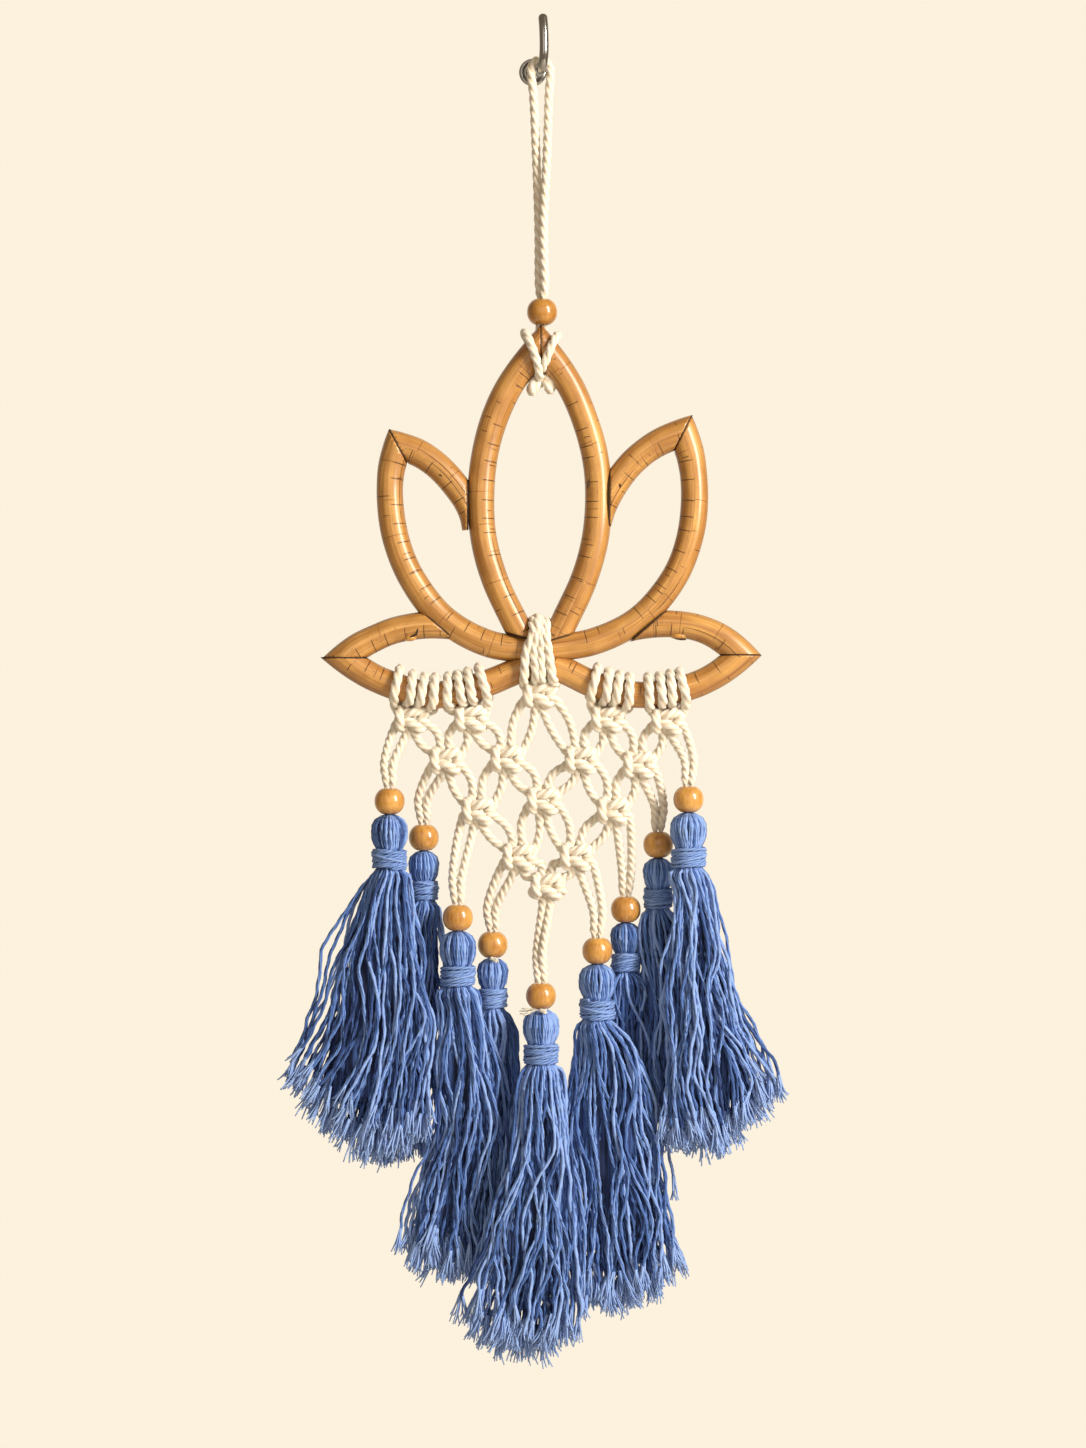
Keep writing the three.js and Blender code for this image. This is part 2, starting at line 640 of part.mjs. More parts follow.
TASSELS.forEach((tassel, i) => {
  const { kind } = tassel;
  const beadMesh = piece(hanging, "bead_" + (i + 1), bead(), wood);
  beadMesh.position.set(tassel.x, kind.y, tassel.z);
  piece(hanging, "tassel_" + (i + 1), tasselSolid(tassel), yarn);
  const bindingMesh = piece(hanging, "binding_" + (i + 1), binding(kind), yarn);
  const headTop = tassel.z - BEAD_HEIGHT / 2 - GAP;
  const bindingZ = headTop - kind.headHeight - GAP - BINDING_HEIGHT / 2;
  bindingMesh.position.set(tassel.x, kind.y, bindingZ);
});

export default dreamcatcher;
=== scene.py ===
# A lotus-shaped cane dreamcatcher with a knotted cotton net and nine yarn tassels, on a wall hook.
# Sizes are in millimetres in the hanging's own frame: x to the right, y into the wall, z up from
# the hook's wire, with the frame's canes in the plane y = 0. Pieces are placed in metres.

import math
from types import SimpleNamespace

import bmesh
import bpy
import numpy as np
from mathutils import Matrix, Vector


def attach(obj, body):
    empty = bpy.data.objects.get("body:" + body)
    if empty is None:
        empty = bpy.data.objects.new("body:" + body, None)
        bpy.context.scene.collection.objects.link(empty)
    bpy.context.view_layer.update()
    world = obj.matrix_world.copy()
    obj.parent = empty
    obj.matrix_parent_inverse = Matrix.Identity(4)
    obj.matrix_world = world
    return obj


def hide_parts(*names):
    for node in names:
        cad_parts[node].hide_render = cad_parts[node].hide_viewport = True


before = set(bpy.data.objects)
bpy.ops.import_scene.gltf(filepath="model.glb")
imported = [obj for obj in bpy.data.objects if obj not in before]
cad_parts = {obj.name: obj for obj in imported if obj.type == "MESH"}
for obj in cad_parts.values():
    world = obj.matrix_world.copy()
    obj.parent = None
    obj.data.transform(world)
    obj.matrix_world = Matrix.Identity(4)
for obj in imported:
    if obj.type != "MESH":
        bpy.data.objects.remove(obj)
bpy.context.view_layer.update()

MM = 0.001
# Where the hanging's own frame stands in the part's.
HANG = np.array([4.0, -16.0, 0.0])

CANE_RADIUS = 6.45
CORD_RADIUS = 2.12
CORD_LAY = 11.4
CORD_STEP = 0.66
BEAD_HALF_HEIGHT = 6.2
BEAD_RADIUS = 7.2
BORE_RADIUS = 2.9
GAP = 0.3


def placed(point):
    """A point of the hanging in mm as a place in metres."""
    return Vector((np.array(point, float) + HANG) * MM)


def added(name, data):
    """A new object of the scene that holds the data."""
    thing = bpy.data.objects.new(name, data)
    bpy.context.scene.collection.objects.link(thing)
    return thing


def as_mesh(shape, name):
    mesh = bpy.data.meshes.new(name)
    shape.to_mesh(mesh)
    shape.free()
    return mesh


def evaluated_mesh(thing):
    """The mesh that an object's curve or modifiers give. The object itself is removed."""
    bpy.context.view_layer.update()
    evaluated = thing.evaluated_get(bpy.context.evaluated_depsgraph_get())
    mesh = bpy.data.meshes.new_from_object(evaluated)
    bpy.data.objects.remove(thing)
    return mesh


def label(mesh, name, values):
    """Gives each vertex of a mesh a value that its finish reads."""
    attribute = mesh.attributes.new(name, "FLOAT", "POINT")
    attribute.data.foreach_set("value", np.asarray(values, np.float32))


# Camera: level with the middle of the hanging, 1.8 m in front of it.
CAMERA_DISTANCE = 1.8
VIEW_HEIGHT = 0.6895
VIEW_CENTRE = (4.95 * MM, -312.86 * MM)
SENSOR = 36

camera_data = bpy.data.cameras.new("camera")
camera_data.sensor_fit = "VERTICAL"
camera_data.sensor_height = SENSOR
camera_data.lens = SENSOR * CAMERA_DISTANCE / VIEW_HEIGHT
camera = added("camera", camera_data)
camera.location = (VIEW_CENTRE[0], HANG[1] * MM - CAMERA_DISTANCE, VIEW_CENTRE[1])
camera.rotation_euler = (math.radians(90), 0, 0)
bpy.context.scene.camera = camera


# Routes and swept sections
ROUTE_DETAIL = 12
UV_SHIFT = 0.37
SHADE_SHIFT = 5.3
PLAIN_SHADE = 0.5


def route_through(points, step):
    """Points about a step apart on a smooth curve through the given ones."""
    knots = np.array(points, float)
    first = 2 * knots[0] - knots[1]
    last = 2 * knots[-1] - knots[-2]
    knots = np.vstack([first, knots, last])
    spans = np.sqrt(np.linalg.norm(np.diff(knots, axis=0), axis=1))
    share = np.linspace(0, 1, ROUTE_DETAIL, endpoint=False)[:, None]
    line = []
    for i in range(1, len(knots) - 2):
        before, start, end, after = knots[i - 1:i + 3]
        d0, d1, d2 = spans[i - 1:i + 2]
        leaving = (start - before) / d0 - (end - before) / (d0 + d1) + (end - start) / d1
        arriving = (end - start) / d1 - (after - start) / (d1 + d2) + (after - end) / d2
        square = share ** 2
        cube = share ** 3
        line.append(
            (2 * cube - 3 * square + 1) * start
            + (cube - 2 * square + share) * leaving * d1
            + (3 * square - 2 * cube) * end
            + (cube - square) * arriving * d1
        )
    line = np.vstack(line + [knots[-2:-1]])
    return spaced(line, step)


def lengths_along(line):
    """The distance from the first point to each point."""
    steps = np.linalg.norm(np.diff(line, axis=0), axis=1)
    return np.concatenate([[0], np.cumsum(steps)])


def spaced(line, step):
    """The same line with its points a step apart."""
    along = lengths_along(line)
    count = max(2, round(along[-1] / step))
    marks = np.linspace(0, along[-1], count + 1)
    return np.column_stack([np.interp(marks, along, line[:, axis]) for axis in range(3)])


def section(name, reaches):
    """A closed section whose points stand at the given shares of its radius."""
    curve = bpy.data.curves.new(name, "CURVE")
    spline = curve.splines.new("POLY")
    spline.points.add(len(reaches) - 1)
    spline.use_cyclic_u = True
    for i, reach in enumerate(reaches):
        angle = -2 * math.pi * i / len(reaches)
        spline.points[i].co = (math.cos(angle) * reach, math.sin(angle) * reach, 0, 1)
    return added(name, curve)


SECTION_REACHES = {
    "cord": [1.04, 0.96, 0.73, 0.96] * 3,
    "yarn": [1.08, 0.8] * 3,
    "fibre": [1, 1, 1],
    "cane": [1] * 40,
}
SECTIONS = {kind: section(kind + "_section", reaches) for kind, reaches in SECTION_REACHES.items()}


def swept(name, runs, kind, lays=None):
    """Sweeps a section along each run, with closed ends, as one mesh with its UV map in metres.

    A run is its points in mm, its radius in mm at each point, and its shade from 0 to 1. The lays
    are the lengths in mm in which each run's plies turn once, all along or at each point."""
    curve = bpy.data.curves.new(name, "CURVE")
    curve.dimensions = "3D"
    curve.twist_mode = "MINIMUM"
    curve.bevel_mode = "OBJECT"
    curve.bevel_object = SECTIONS[kind]
    for i, (points, radius, shade) in enumerate(runs):
        spline = curve.splines.new("POLY")
        spline.points.add(len(points) - 1)
        places = np.ones((len(points), 4))
        places[:, :3] = (points + HANG) * MM
        spline.points.foreach_set("co", places.ravel())
        spline.points.foreach_set("radius", np.broadcast_to(radius, len(points)) * MM)
        if lays:
            spline.points.foreach_set("tilt", -turned_plies(points, radius, lays[i]))
    mesh = evaluated_mesh(added(name, curve))
    label_strands(mesh, runs, SECTION_REACHES[kind])
    close_ends(mesh)
    return mesh


def turned_plies(points, radius, lay):
    """How far a strand's plies have turned at each point. Where it is plumper they turn slower."""
    plumpness = np.maximum(np.broadcast_to(radius / np.median(radius), len(points)), 1)
    steps = np.diff(lengths_along(points), prepend=0) / (lay * plumpness ** 3)
    return np.cumsum(steps) * 2 * math.pi


def label_strands(mesh, runs, reaches):
    """Gives each strand its shade, its plies' ridges, and a UV map of its length and girth in metres."""
    counts = [len(points) * len(reaches) for points, radius, shade in runs]
    label(mesh, "ridge", np.tile(reaches, sum(counts) // len(reaches)))
    strand = np.repeat(np.arange(len(runs)), counts)
    shades = np.array([shade for points, radius, shade in runs])[strand]
    label(mesh, "shade", shades)
    size = np.array([
        [lengths_along(points)[-1], 2 * math.pi * np.max(radius)] for points, radius, shade in runs
    ]) * MM
    corners = np.empty(len(mesh.loops), int)
    mesh.loops.foreach_get("vertex_index", corners)
    uv = np.empty(len(mesh.loops) * 2, np.float32)
    layer = mesh.uv_layers[0].data
    layer.foreach_get("uv", uv)
    shift = strand[corners] * UV_SHIFT + shades[corners] * SHADE_SHIFT
    uv = uv.reshape(-1, 2) * size[strand[corners]] + shift[:, None]
    layer.foreach_set("uv", uv.astype(np.float32).ravel())


def close_ends(mesh):
    """Closes the open ends of a mesh's tubes."""
    shape = bmesh.new()
    shape.from_mesh(mesh)
    rims = [edge for edge in shape.edges if edge.is_boundary]
    bmesh.ops.holes_fill(shape, edges=rims, sides=0)
    bmesh.ops.recalc_face_normals(shape, faces=shape.faces)
    shape.to_mesh(mesh)
    shape.free()


def finished(name, mesh, material, slot, *nodes):
    """Makes a mesh a piece of the part: its finish, its body and the CAD nodes it stands for."""
    mesh.name = name
    mesh.materials.clear()
    mesh.materials.append(material)
    mesh.polygons.foreach_set("use_smooth", np.ones(len(mesh.polygons), bool))
    piece = added(name, mesh)
    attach(piece, "root")
    if nodes:
        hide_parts(*nodes)
    return piece


# Materials

class Nodes:
    """The nodes of a finish, or of the room's light, that lead to its shader."""

    def __init__(self, holder, shader):
        holder.use_nodes = True
        self.tree = holder.node_tree
        self.shader = self.tree.nodes[shader]

    def put(self, value, socket):
        """Links a value to a socket, or sets it there. A colour may come without its alpha."""
        if isinstance(value, bpy.types.NodeSocket):
            self.tree.links.new(value, socket)
        elif socket.type == "RGBA":
            socket.default_value = (*value, 1)
        else:
            socket.default_value = value

    def node(self, kind, inputs=None, **settings):
        node = self.tree.nodes.new(kind)
        for name, value in settings.items():
            setattr(node, name, value)
        for name, value in (inputs or {}).items():
            self.put(value, node.inputs[name])
        return node

    def coordinates(self, output, scale):
        """Object or UV coordinates, stretched by a scale along each axis."""
        source = self.node("ShaderNodeTexCoord").outputs[output]
        return self.node("ShaderNodeMapping", {"Vector": source, "Scale": scale}).outputs["Vector"]

    def noise(self, output, scale, detail=3.0, roughness=0.55):
        """Noise on the given coordinates, finer along an axis the larger its scale."""
        vector = self.coordinates(output, scale)
        inputs = {"Vector": vector, "Scale": 1.0, "Detail": detail, "Roughness": roughness}
        return self.node("ShaderNodeTexNoise", inputs).outputs["Fac"]

    def attribute(self, name):
        return self.node("ShaderNodeAttribute", attribute_name=name).outputs["Fac"]

    def ramp(self, value, stops):
        """A colour ramp with a colour or a grey at each position."""
        node = self.node("ShaderNodeValToRGB", {"Fac": value})
        ramp = node.color_ramp
        while len(ramp.elements) < len(stops):
            ramp.elements.new(0.5)
        for element, (position, colour) in zip(ramp.elements, stops):
            element.position = position
            element.color = (*colour, 1) if isinstance(colour, tuple) else (colour, colour, colour, 1)
        return node.outputs["Color"]

    def mixed(self, factor, first, second, blend="MIX"):
        """Two colours mixed by a factor."""
        inputs = {0: factor, 6: first, 7: second}
        return self.node("ShaderNodeMix", inputs, data_type="RGBA", blend_type=blend).outputs[2]

    def faded(self, factor, value):
        """A value, less where the factor is small."""
        return self.mixed(factor, (0, 0, 0), value)

    def sum(self, first, second, share):
        """The first value plus a share of the second."""
        inputs = {0: second, 1: share, 2: first}
        return self.node("ShaderNodeMath", inputs, operation="MULTIPLY_ADD").outputs[0]

    def cracks(self, axis, spacing, width, sway, broken, least):
        """Thin broken lines across or along a strand, about a spacing apart and a share of it wide."""
        place = self.coordinates("UV", (1 / spacing, 1 / spacing, 1))
        across = self.node("ShaderNodeSeparateXYZ", {"Vector": place}).outputs[axis]
        bent = self.sum(across, self.noise("UV", sway, 2.0), 0.5)
        rows = self.node(
            "ShaderNodeTexVoronoi", {"W": bent, "Scale": 1.0, "Randomness": 0.9},
            feature="DISTANCE_TO_EDGE", voronoi_dimensions="1D",
        )
        lines = self.ramp(rows.outputs["Distance"], [(width * 0.4, 1), (width, 0)])
        here = self.noise("UV", broken, 1.0)
        return self.faded(self.ramp(here, [(least, 0), (least + 0.05, 1)]), lines)


class Finish(Nodes):
    """A node material with its shader."""

    def __init__(self, name):
        self.material = bpy.data.materials.new(name)
        super().__init__(self.material, "Principled BSDF")

    def surface(self, base_color, **values):
        """Gives the shader's sockets their values, each by its name in small letters."""
        for name, value in {"base_color": base_color, **values}.items():
            self.put(value, self.shader.inputs[name.replace("_", " ").title()])

    def bump(self, height, depth, strength=1.0):
        """Raises the surface by a height from 0 to 1 that stands for a depth in metres."""
        inputs = {"Height": height, "Distance": depth, "Strength": strength}
        self.put(self.node("ShaderNodeBump", inputs).outputs["Normal"], self.shader.inputs["Normal"])


CANE_LINE = (0.085, 0.026, 0.005)
CANE_DARK = (0.2, 0.068, 0.011)
CANE_BROWN = (0.31, 0.118, 0.021)
CANE_HONEY = (0.5, 0.228, 0.05)
CANE_PALE = (0.73, 0.4, 0.112)


def cotton_finish():
    """Cream cotton: fine fibres along each ply, painted shade in the plies' grooves, and a soft sheen."""
    finish = Finish("cream_cotton")
    fibres = finish.noise("UV", (260, 2600, 1))
    patches = finish.noise("Object", (60, 60, 60))
    tone = finish.ramp(fibres, [
        (0.3, (0.76, 0.68, 0.55)), (0.55, (0.88, 0.82, 0.72)), (0.75, (0.94, 0.895, 0.81)),
    ])
    patchy = finish.ramp(patches, [(0.3, (0.8, 0.71, 0.57)), (0.7, (0.95, 0.91, 0.83))])
    tone = finish.mixed(0.25, tone, patchy)
    # The plies' grooves are mixed towards a dark tan: painted shade between the plies.
    painted_groove_shade = finish.ramp(finish.attribute("ridge"), [(0.74, 0.6), (0.95, 0)])
    tone = finish.mixed(painted_groove_shade, tone, (0.58, 0.4, 0.22))
    finish.surface(tone, roughness=0.9, sheen_weight=0.35, sheen_roughness=0.5)
    finish.bump(fibres, 0.00025)
    return finish.material


def yarn_finish(name, shadow, middle, light):
    """Blue cotton yarn: each strand a little lighter or darker, painted shade in its plies' grooves,
    and fine fibres along it.
    """
    finish = Finish(name)
    fibres = finish.noise("UV", (90, 2400, 1), 4.0)
    patches = finish.noise("Object", (90, 90, 22.5))
    shade = finish.sum(finish.attribute("shade"), fibres, 0.55)
    shade = finish.sum(shade, patches, 0.3)
    # Where a yarn dips between its ply ridges it is darker: painted shade in the grooves.
    shade = finish.sum(shade, finish.ramp(finish.attribute("ridge"), [(0.8, 1), (1.0, 0)]), -0.28)
    tone = finish.ramp(shade, [(0.35, shadow), (0.8, middle), (1.0, light)])
    finish.surface(
        tone, roughness=0.85, sheen_weight=0.12, sheen_roughness=0.45, sheen_tint=(0.6, 0.7, 1)
    )
    finish.bump(fibres, 0.0002)
    return finish.material


def core_shade_finish():
    """The deep shade between a tassel's yarns, in upright stripes as wide as a yarn."""
    finish = Finish("yarn_core_shade")
    stripes = finish.noise("Object", (520, 520, 16), 2.0)
    tone = finish.ramp(stripes, [
        (0.4, (0.004, 0.01, 0.045)), (0.5, (0.014, 0.036, 0.14)), (0.62, (0.05, 0.11, 0.33)),
    ])
    finish.surface(tone, roughness=0.9)
    finish.bump(stripes, 0.0012)
    return finish.material


def cane_finish():
    """Varnished honey cane: grain along it, dark flecks, growth rings, creases and hairline cracks, and
    painted shade that darkens its sides.
    """
    finish = Finish("varnished_cane")
    grain = finish.noise("UV", (16, 1000, 1), 5.0, 0.62)
    broad = finish.noise("UV", (14, 190, 1), 2.0)
    patch = finish.noise("UV", (60, 60, 1))
    fleck = finish.noise("UV", (90, 1300, 1), 2.0)
    tone = finish.ramp(grain, [(0.3, CANE_DARK), (0.48, CANE_HONEY), (0.68, CANE_PALE)])
    tone = finish.mixed(0.45, tone, finish.ramp(broad, [(0.38, CANE_BROWN), (0.6, CANE_PALE)]))
    tone = finish.mixed(finish.ramp(patch, [(0.35, 0.5), (0.6, 0)]), tone, CANE_BROWN)
    tone = finish.mixed(finish.ramp(fleck, [(0.25, 1), (0.31, 0)]), tone, CANE_LINE)
    rings = finish.cracks("X", 0.0151, 0.02, (6, 20, 1), (40, 40, 1), 0.5)
    tone = finish.mixed(finish.faded(0.55, rings), tone, CANE_BROWN)
    across = finish.cracks("X", 0.0078, 0.032, (11, 34, 1), (120, 95, 1), 0.6)
    along = finish.cracks("Y", 0.0104, 0.024, (14, 1, 1), (15, 90, 1), 0.57)
    lines = finish.mixed(1.0, across, along, "ADD")
    creases = finish.cracks("X", 0.0095, 0.031, (4, 18, 1), (45, 30, 1), 0.42)
    inside = finish.ramp(finish.attribute("inside"), [(0.46, 0), (0.6, 1)])
    lines = finish.mixed(1.0, lines, finish.faded(inside, creases), "ADD")
    tone = finish.mixed(finish.faded(0.85, lines), tone, CANE_LINE)
    # Where the cane faces sideways it is mixed towards CANE_DARK: painted shade on its sides.
    painted_side_shade = finish.ramp(finish.attribute("painted_side_shade"), [(0.2, 0), (1, 0.72)])
    tone = finish.mixed(painted_side_shade, tone, CANE_DARK)
    finish.surface(tone, roughness=0.4, coat_weight=0.5, coat_roughness=0.25)
    relief = finish.sum(finish.sum(broad, rings, -0.5), lines, -1.2)
    finish.bump(relief, 0.00055, 0.8)
    return finish.material


def bead_finish(name, shadow, middle, light):
    """Turned, varnished beads with a fine upright grain and darker spots."""
    finish = Finish(name)
    grain = finish.noise("Object", (900, 900, 70), 4.0)
    broad = finish.noise("Object", (150, 150, 90), 2.0)
    tone = finish.ramp(grain, [(0.3, shadow), (0.52, middle), (0.75, light)])
    tone = finish.mixed(0.45, tone, finish.ramp(broad, [(0.35, shadow), (0.65, light)]))
    finish.surface(tone, roughness=0.38, coat_weight=0.8, coat_roughness=0.08)
    finish.bump(grain, 0.0001, 0.5)
    return finish.material


def seam_shade_and_scar_finish():
    """Dark specked brown: painted shade in the cane seams, and the scars' own colour."""
    finish = Finish("seam_shade_and_scars")
    specks = finish.noise("Object", (900, 900, 900))
    tone = finish.ramp(specks, [(0.3, (0.03, 0.012, 0.004)), (0.7, (0.07, 0.03, 0.01))])
    finish.surface(tone, roughness=0.7)
    return finish.material


def steel_finish():
    """Dark polished steel with faint drawing marks."""
    finish = Finish("polished_steel")
    marks = finish.noise("Object", (90, 90, 90))
    tone = finish.ramp(marks, [(0.3, (0.33, 0.32, 0.31)), (0.7, (0.41, 0.4, 0.39))])
    finish.surface(tone, metallic=1.0, roughness=finish.ramp(marks, [(0.3, 0.17), (0.7, 0.21)]))
    return finish.material


COTTON = cotton_finish()
YARN = yarn_finish("blue_yarn", (0.007, 0.026, 0.13), (0.073, 0.163, 0.465), (0.24, 0.375, 0.75))
YARN_ENDS = yarn_finish("blue_yarn_ends", (0.016, 0.05, 0.2), (0.1, 0.205, 0.52), (0.28, 0.42, 0.79))
BINDING = yarn_finish("blue_binding", (0.012, 0.04, 0.165), (0.085, 0.17, 0.445), (0.23, 0.36, 0.7))
CANE = cane_finish()
# A dark brown for the painted shade in the cane seams and for the scars on the canes.
SEAM_SHADE_AND_SCARS = seam_shade_and_scar_finish()
CORE_SHADE = core_shade_finish()
BEAD = bead_finish("honey_bead", (0.36, 0.14, 0.022), (0.56, 0.262, 0.048), (0.72, 0.385, 0.09))
BROWN_BEAD = bead_finish("brown_bead", (0.3, 0.11, 0.013), (0.46, 0.2, 0.026), (0.58, 0.285, 0.05))
STEEL = steel_finish()

TOP_BEAD = (0.5, 0, -116.7)
HANGER_LAY = 15.4
HITCH_LAY = CORD_LAY * 1.6
IN_BEAD = 0.72
BORE_EASE = 3
FRAY_RADIUS = 0.62

# The hanging cord: from behind the apex, through its crotch, over its shoulders, up through the
# bead, over the hook, and back the same way on the other side.
HANGER_ROUTE = [
    (-0.2, 9.4, -150), (-0.4, 3.5, -148.6), (-0.7, -4, -147.4), (-1.4, -8.2, -143),
    (-3.6, -8.6, -136), (-6, -7.4, -130.2), (-7.6, -3, -127.2), (-7.8, 1.8, -126.8),
    (-6.2, 5.8, -129.8), (-3.2, 6.8, -131.4), (-1.2, 4.6, -127), (-0.9, 1.4, -122), (-0.9, 1, -116.7),
    (-0.3, 1.2, -110.4), (-0.9, 1.8, -104), (-1.1, 1.8, -77.6), (-2.4, 1.2, -39.5),
    (-3.6, -0.4, -14), (-4.7, -1.1, -3), (-4.4, -1.1, 0.3), (-2.8, -0.7, 2.5),
    (-0.2, 0, 3.3), (2.5, 0.7, 2.5), (4.1, 1.1, 0.3), (4.4, 1.1, -3),
    (3.7, 0.4, -14), (2.9, -1.2, -39.5), (1.2, -1.8, -77.6), (1.8, -1.8, -104),
    (1.3, -1.3, -110.4), (1.7, -0.4, -116.7), (1.2, 1.6, -122), (1.6, 4.8, -127.4),
    (3.4, 6.8, -131.8), (6.2, 5.8, -130.6), (7.8, 1.8, -128), (7.6, -3, -128.4), (6, -7.4, -131.2),
    (3.7, -8.6, -137), (1.4, -7.2, -142.6), (-0.6, -2.4, -145.8),
]


def drawn_in(points, bead, radius):
    """A cord's radius along its points, less where a bead's bore holds it."""
    low = bead[2] - BEAD_HALF_HEIGHT
    high = bead[2] + BEAD_HALF_HEIGHT
    beyond = np.maximum(np.maximum(low - points[:, 2], points[:, 2] - high), 0)
    return radius * (IN_BEAD + (1 - IN_BEAD) * np.clip(beyond / BORE_EASE, 0, 1))


# The soft knot behind the apex that ties the hanging cord's ends: the points of its two lobes with
# a radius at each.
LOBES = [
    [
        (-0.2, 1.5, -146.6, 1.8), (-1.8, 0, -149, 2.6), (-3.5, -0.8, -151.8, 3.3),
        (-4.2, -0.6, -154.4, 3), (-4.4, 0, -156.4, 1.4),
    ],
    [
        (0.4, 1.5, -146, 1.8), (2.1, 0, -148.4, 2.6), (3.7, -0.8, -151, 3.2),
        (4.3, -0.6, -153.6, 2.9), (4.4, 0, -155.6, 1.4),
    ],
]


def hanging_cord():
    line = route_through(HANGER_ROUTE, CORD_STEP)
    radius = drawn_in(line, TOP_BEAD, CORD_RADIUS)
    mesh = swept("hanging_loop", [(line, radius, PLAIN_SHADE)], "cord", [HANGER_LAY])
    return finished("hanging_loop", mesh, COTTON, "cotton_cord", "hanging_cord"), line


def frayed(end, heading, reach, count, spread, rng, shade):
    """Fibres that fan out from a strand's end."""
    heading = heading / np.linalg.norm(heading)
    across = np.cross(heading, (0, 1, 0.1))
    across /= np.linalg.norm(across)
    deep = np.cross(heading, across)
    fibres = []
    for k in range(count):
        angle = 2 * math.pi * (k + rng.random()) / count
        lean = across * math.cos(angle) + deep * math.sin(angle)
        turn = spread * (0.35 + 0.65 * rng.random())
        length = reach * (0.65 + 0.5 * rng.random())
        curl = across * rng.normal(0, 0.1) + deep * rng.normal(0, 0.1)
        points = [
            end - heading * reach * 0.5 + lean * 0.3,
            end + lean * (0.45 + turn * length * 0.25),
            end + heading * length * 0.55 + lean * (0.5 + turn * length * 0.7),
            end + heading * length + lean * (0.5 + turn * length) + curl * length,
        ]
        line = route_through(points, reach / 4)
        taper = np.linspace(1, 0.55, len(line))
        fibres.append((line, FRAY_RADIUS * taper, shade))
    return fibres


def hitch():
    """The soft knot at the back of the apex."""
    runs = []
    for lobe in LOBES:
        table = np.array(lobe)
        line = route_through(table[:, :3], CORD_STEP)
        marks = np.linspace(0, 1, len(line))
        known = lengths_along(table[:, :3])
        runs.append((line, np.interp(marks, known / known[-1], table[:, 3]), PLAIN_SHADE))
    mesh = swept("hitch_knot", runs, "cord", [HITCH_LAY] * len(runs))
    return finished("hitch_knot", mesh, COTTON, "cotton_cord")


loop, loop_line = hanging_cord()
knot = hitch()


# The canes' centrelines in the frame's plane, from the petal's tip on: columns x and z.
CANES = {
    "centre_left": [
        (0, -133), (-13.8, -150), (-22.4, -168.1), (-27.2, -187.1), (-28.6, -206.2),
        (-27.2, -225.2), (-21.9, -244.3), (-13, -263.3), (-6.8, -275),
    ],
    "centre_right": [
        (0, -133), (12.8, -150), (20.9, -168.1), (26, -187.1), (27.3, -206.2),
        (25.7, -225.2), (20.4, -244.1), (11.7, -263), (5.8, -275),
    ],
    "side_left_outer": [
        (-68.1, -180.5), (-71.3, -192), (-71.9, -206.2), (-69, -225.2), (-61.4, -243.7),
        (-46.6, -262.5), (-24.3, -274.8), (0, -277.6),
    ],
    "side_left_inner": [
        (-68.1, -180.5), (-58.6, -183.7), (-51, -188.6), (-45.2, -194), (-39.8, -200.5),
        (-35.4, -206.8), (-32.4, -213.5), (-31.1, -219.5),
    ],
    "side_right_outer": [
        (67.6, -174.3), (71.6, -187.1), (73.1, -206.2), (70.6, -225.1), (63, -243.8),
        (46.8, -262.6), (25.5, -273.4), (0, -277.6),
    ],
    "side_right_inner": [
        (67.6, -174.3), (57.6, -178.1), (49.8, -182.9), (42.4, -189.5), (36.4, -197.3),
        (32.1, -204.5), (29.4, -210.2), (27.2, -217),
    ],
    "low_left_upper": [
        (-93.8, -281.4), (-87, -276.2), (-78.8, -271.9), (-70.5, -268.5), (-61.4, -266.5),
        (-52.9, -265.7), (-44, -266), (-37, -266.8),
    ],
    "low_left_lower": [
        (-93.8, -281.4), (-87.6, -286), (-80, -290.5), (-70.5, -294.5), (-60, -297.9),
        (-50.5, -299), (-38.6, -297.6), (-24.3, -292.9), (-10, -287.1), (0, -284.3),
    ],
    "low_right_upper": [
        (95.2, -280), (88.9, -274.3), (81.7, -269.8), (74, -266.9), (66.2, -265.5),
        (56.7, -265.2), (46, -266.4), (38, -268.4),
    ],
    "low_right_lower": [
        (95.2, -280), (89.3, -285.2), (82.5, -289.9), (74.6, -293.8), (66.2, -296.4),
        (56.7, -298.3), (47.1, -299), (35.2, -297.4), (23.3, -293.3), (11.4, -287.6), (0, -283.8),
    ],
}
# Each petal's mitre, at its tip: the seam's direction, and the canes on its left and right.
MITRES = [
    ((0, 1), "centre_left", "centre_right"),
    ((-20, 37), "side_left_outer", "side_left_inner"),
    ((19, 38), "side_right_inner", "side_right_outer"),
    ((-1, 0), "low_left_lower", "low_left_upper"),
    ((1, 0), "low_right_upper", "low_right_lower"),
]
# The canes whose ends are shaped round another, and the cane that carries them.
COPED = {
    "side_left_inner": "centre_left",
    "side_right_inner": "centre_right",
    "low_left_upper": "side_left_outer",
    "low_right_upper": "side_right_outer",
    "low_left_lower": "side_left_outer",
    "low_right_lower": "side_right_outer",
    "centre_left": "side_left_outer",
    "centre_right": "side_right_outer",
}
MEET_AT_CENTRE = ["side_left_outer", "low_left_lower", "side_right_outer", "low_right_lower"]
CENTRE_HEIGHT = -280
# The canes whose far end is sawn flat to lie along another: a point of the cut and its direction.
SAWN = {
    "side_left_inner": ((-35.3, -206), (0, 1)),
    "side_right_inner": ((33, -206), (0, -1)),
    "low_left_upper": ((-50.7, -265), (-13.8, 11.9)),
    "low_right_upper": ((52.4, -265.6), (-15.6, -13.7)),
    "centre_left": ((-12.2, -270.2), (9.2, -2.5)),
    "centre_right": ((11, -270.8), (12.3, 3.6)),
}
SEAM = 0.7
SEAM_DEPTH = 0.12
SEAM_REACH = 26
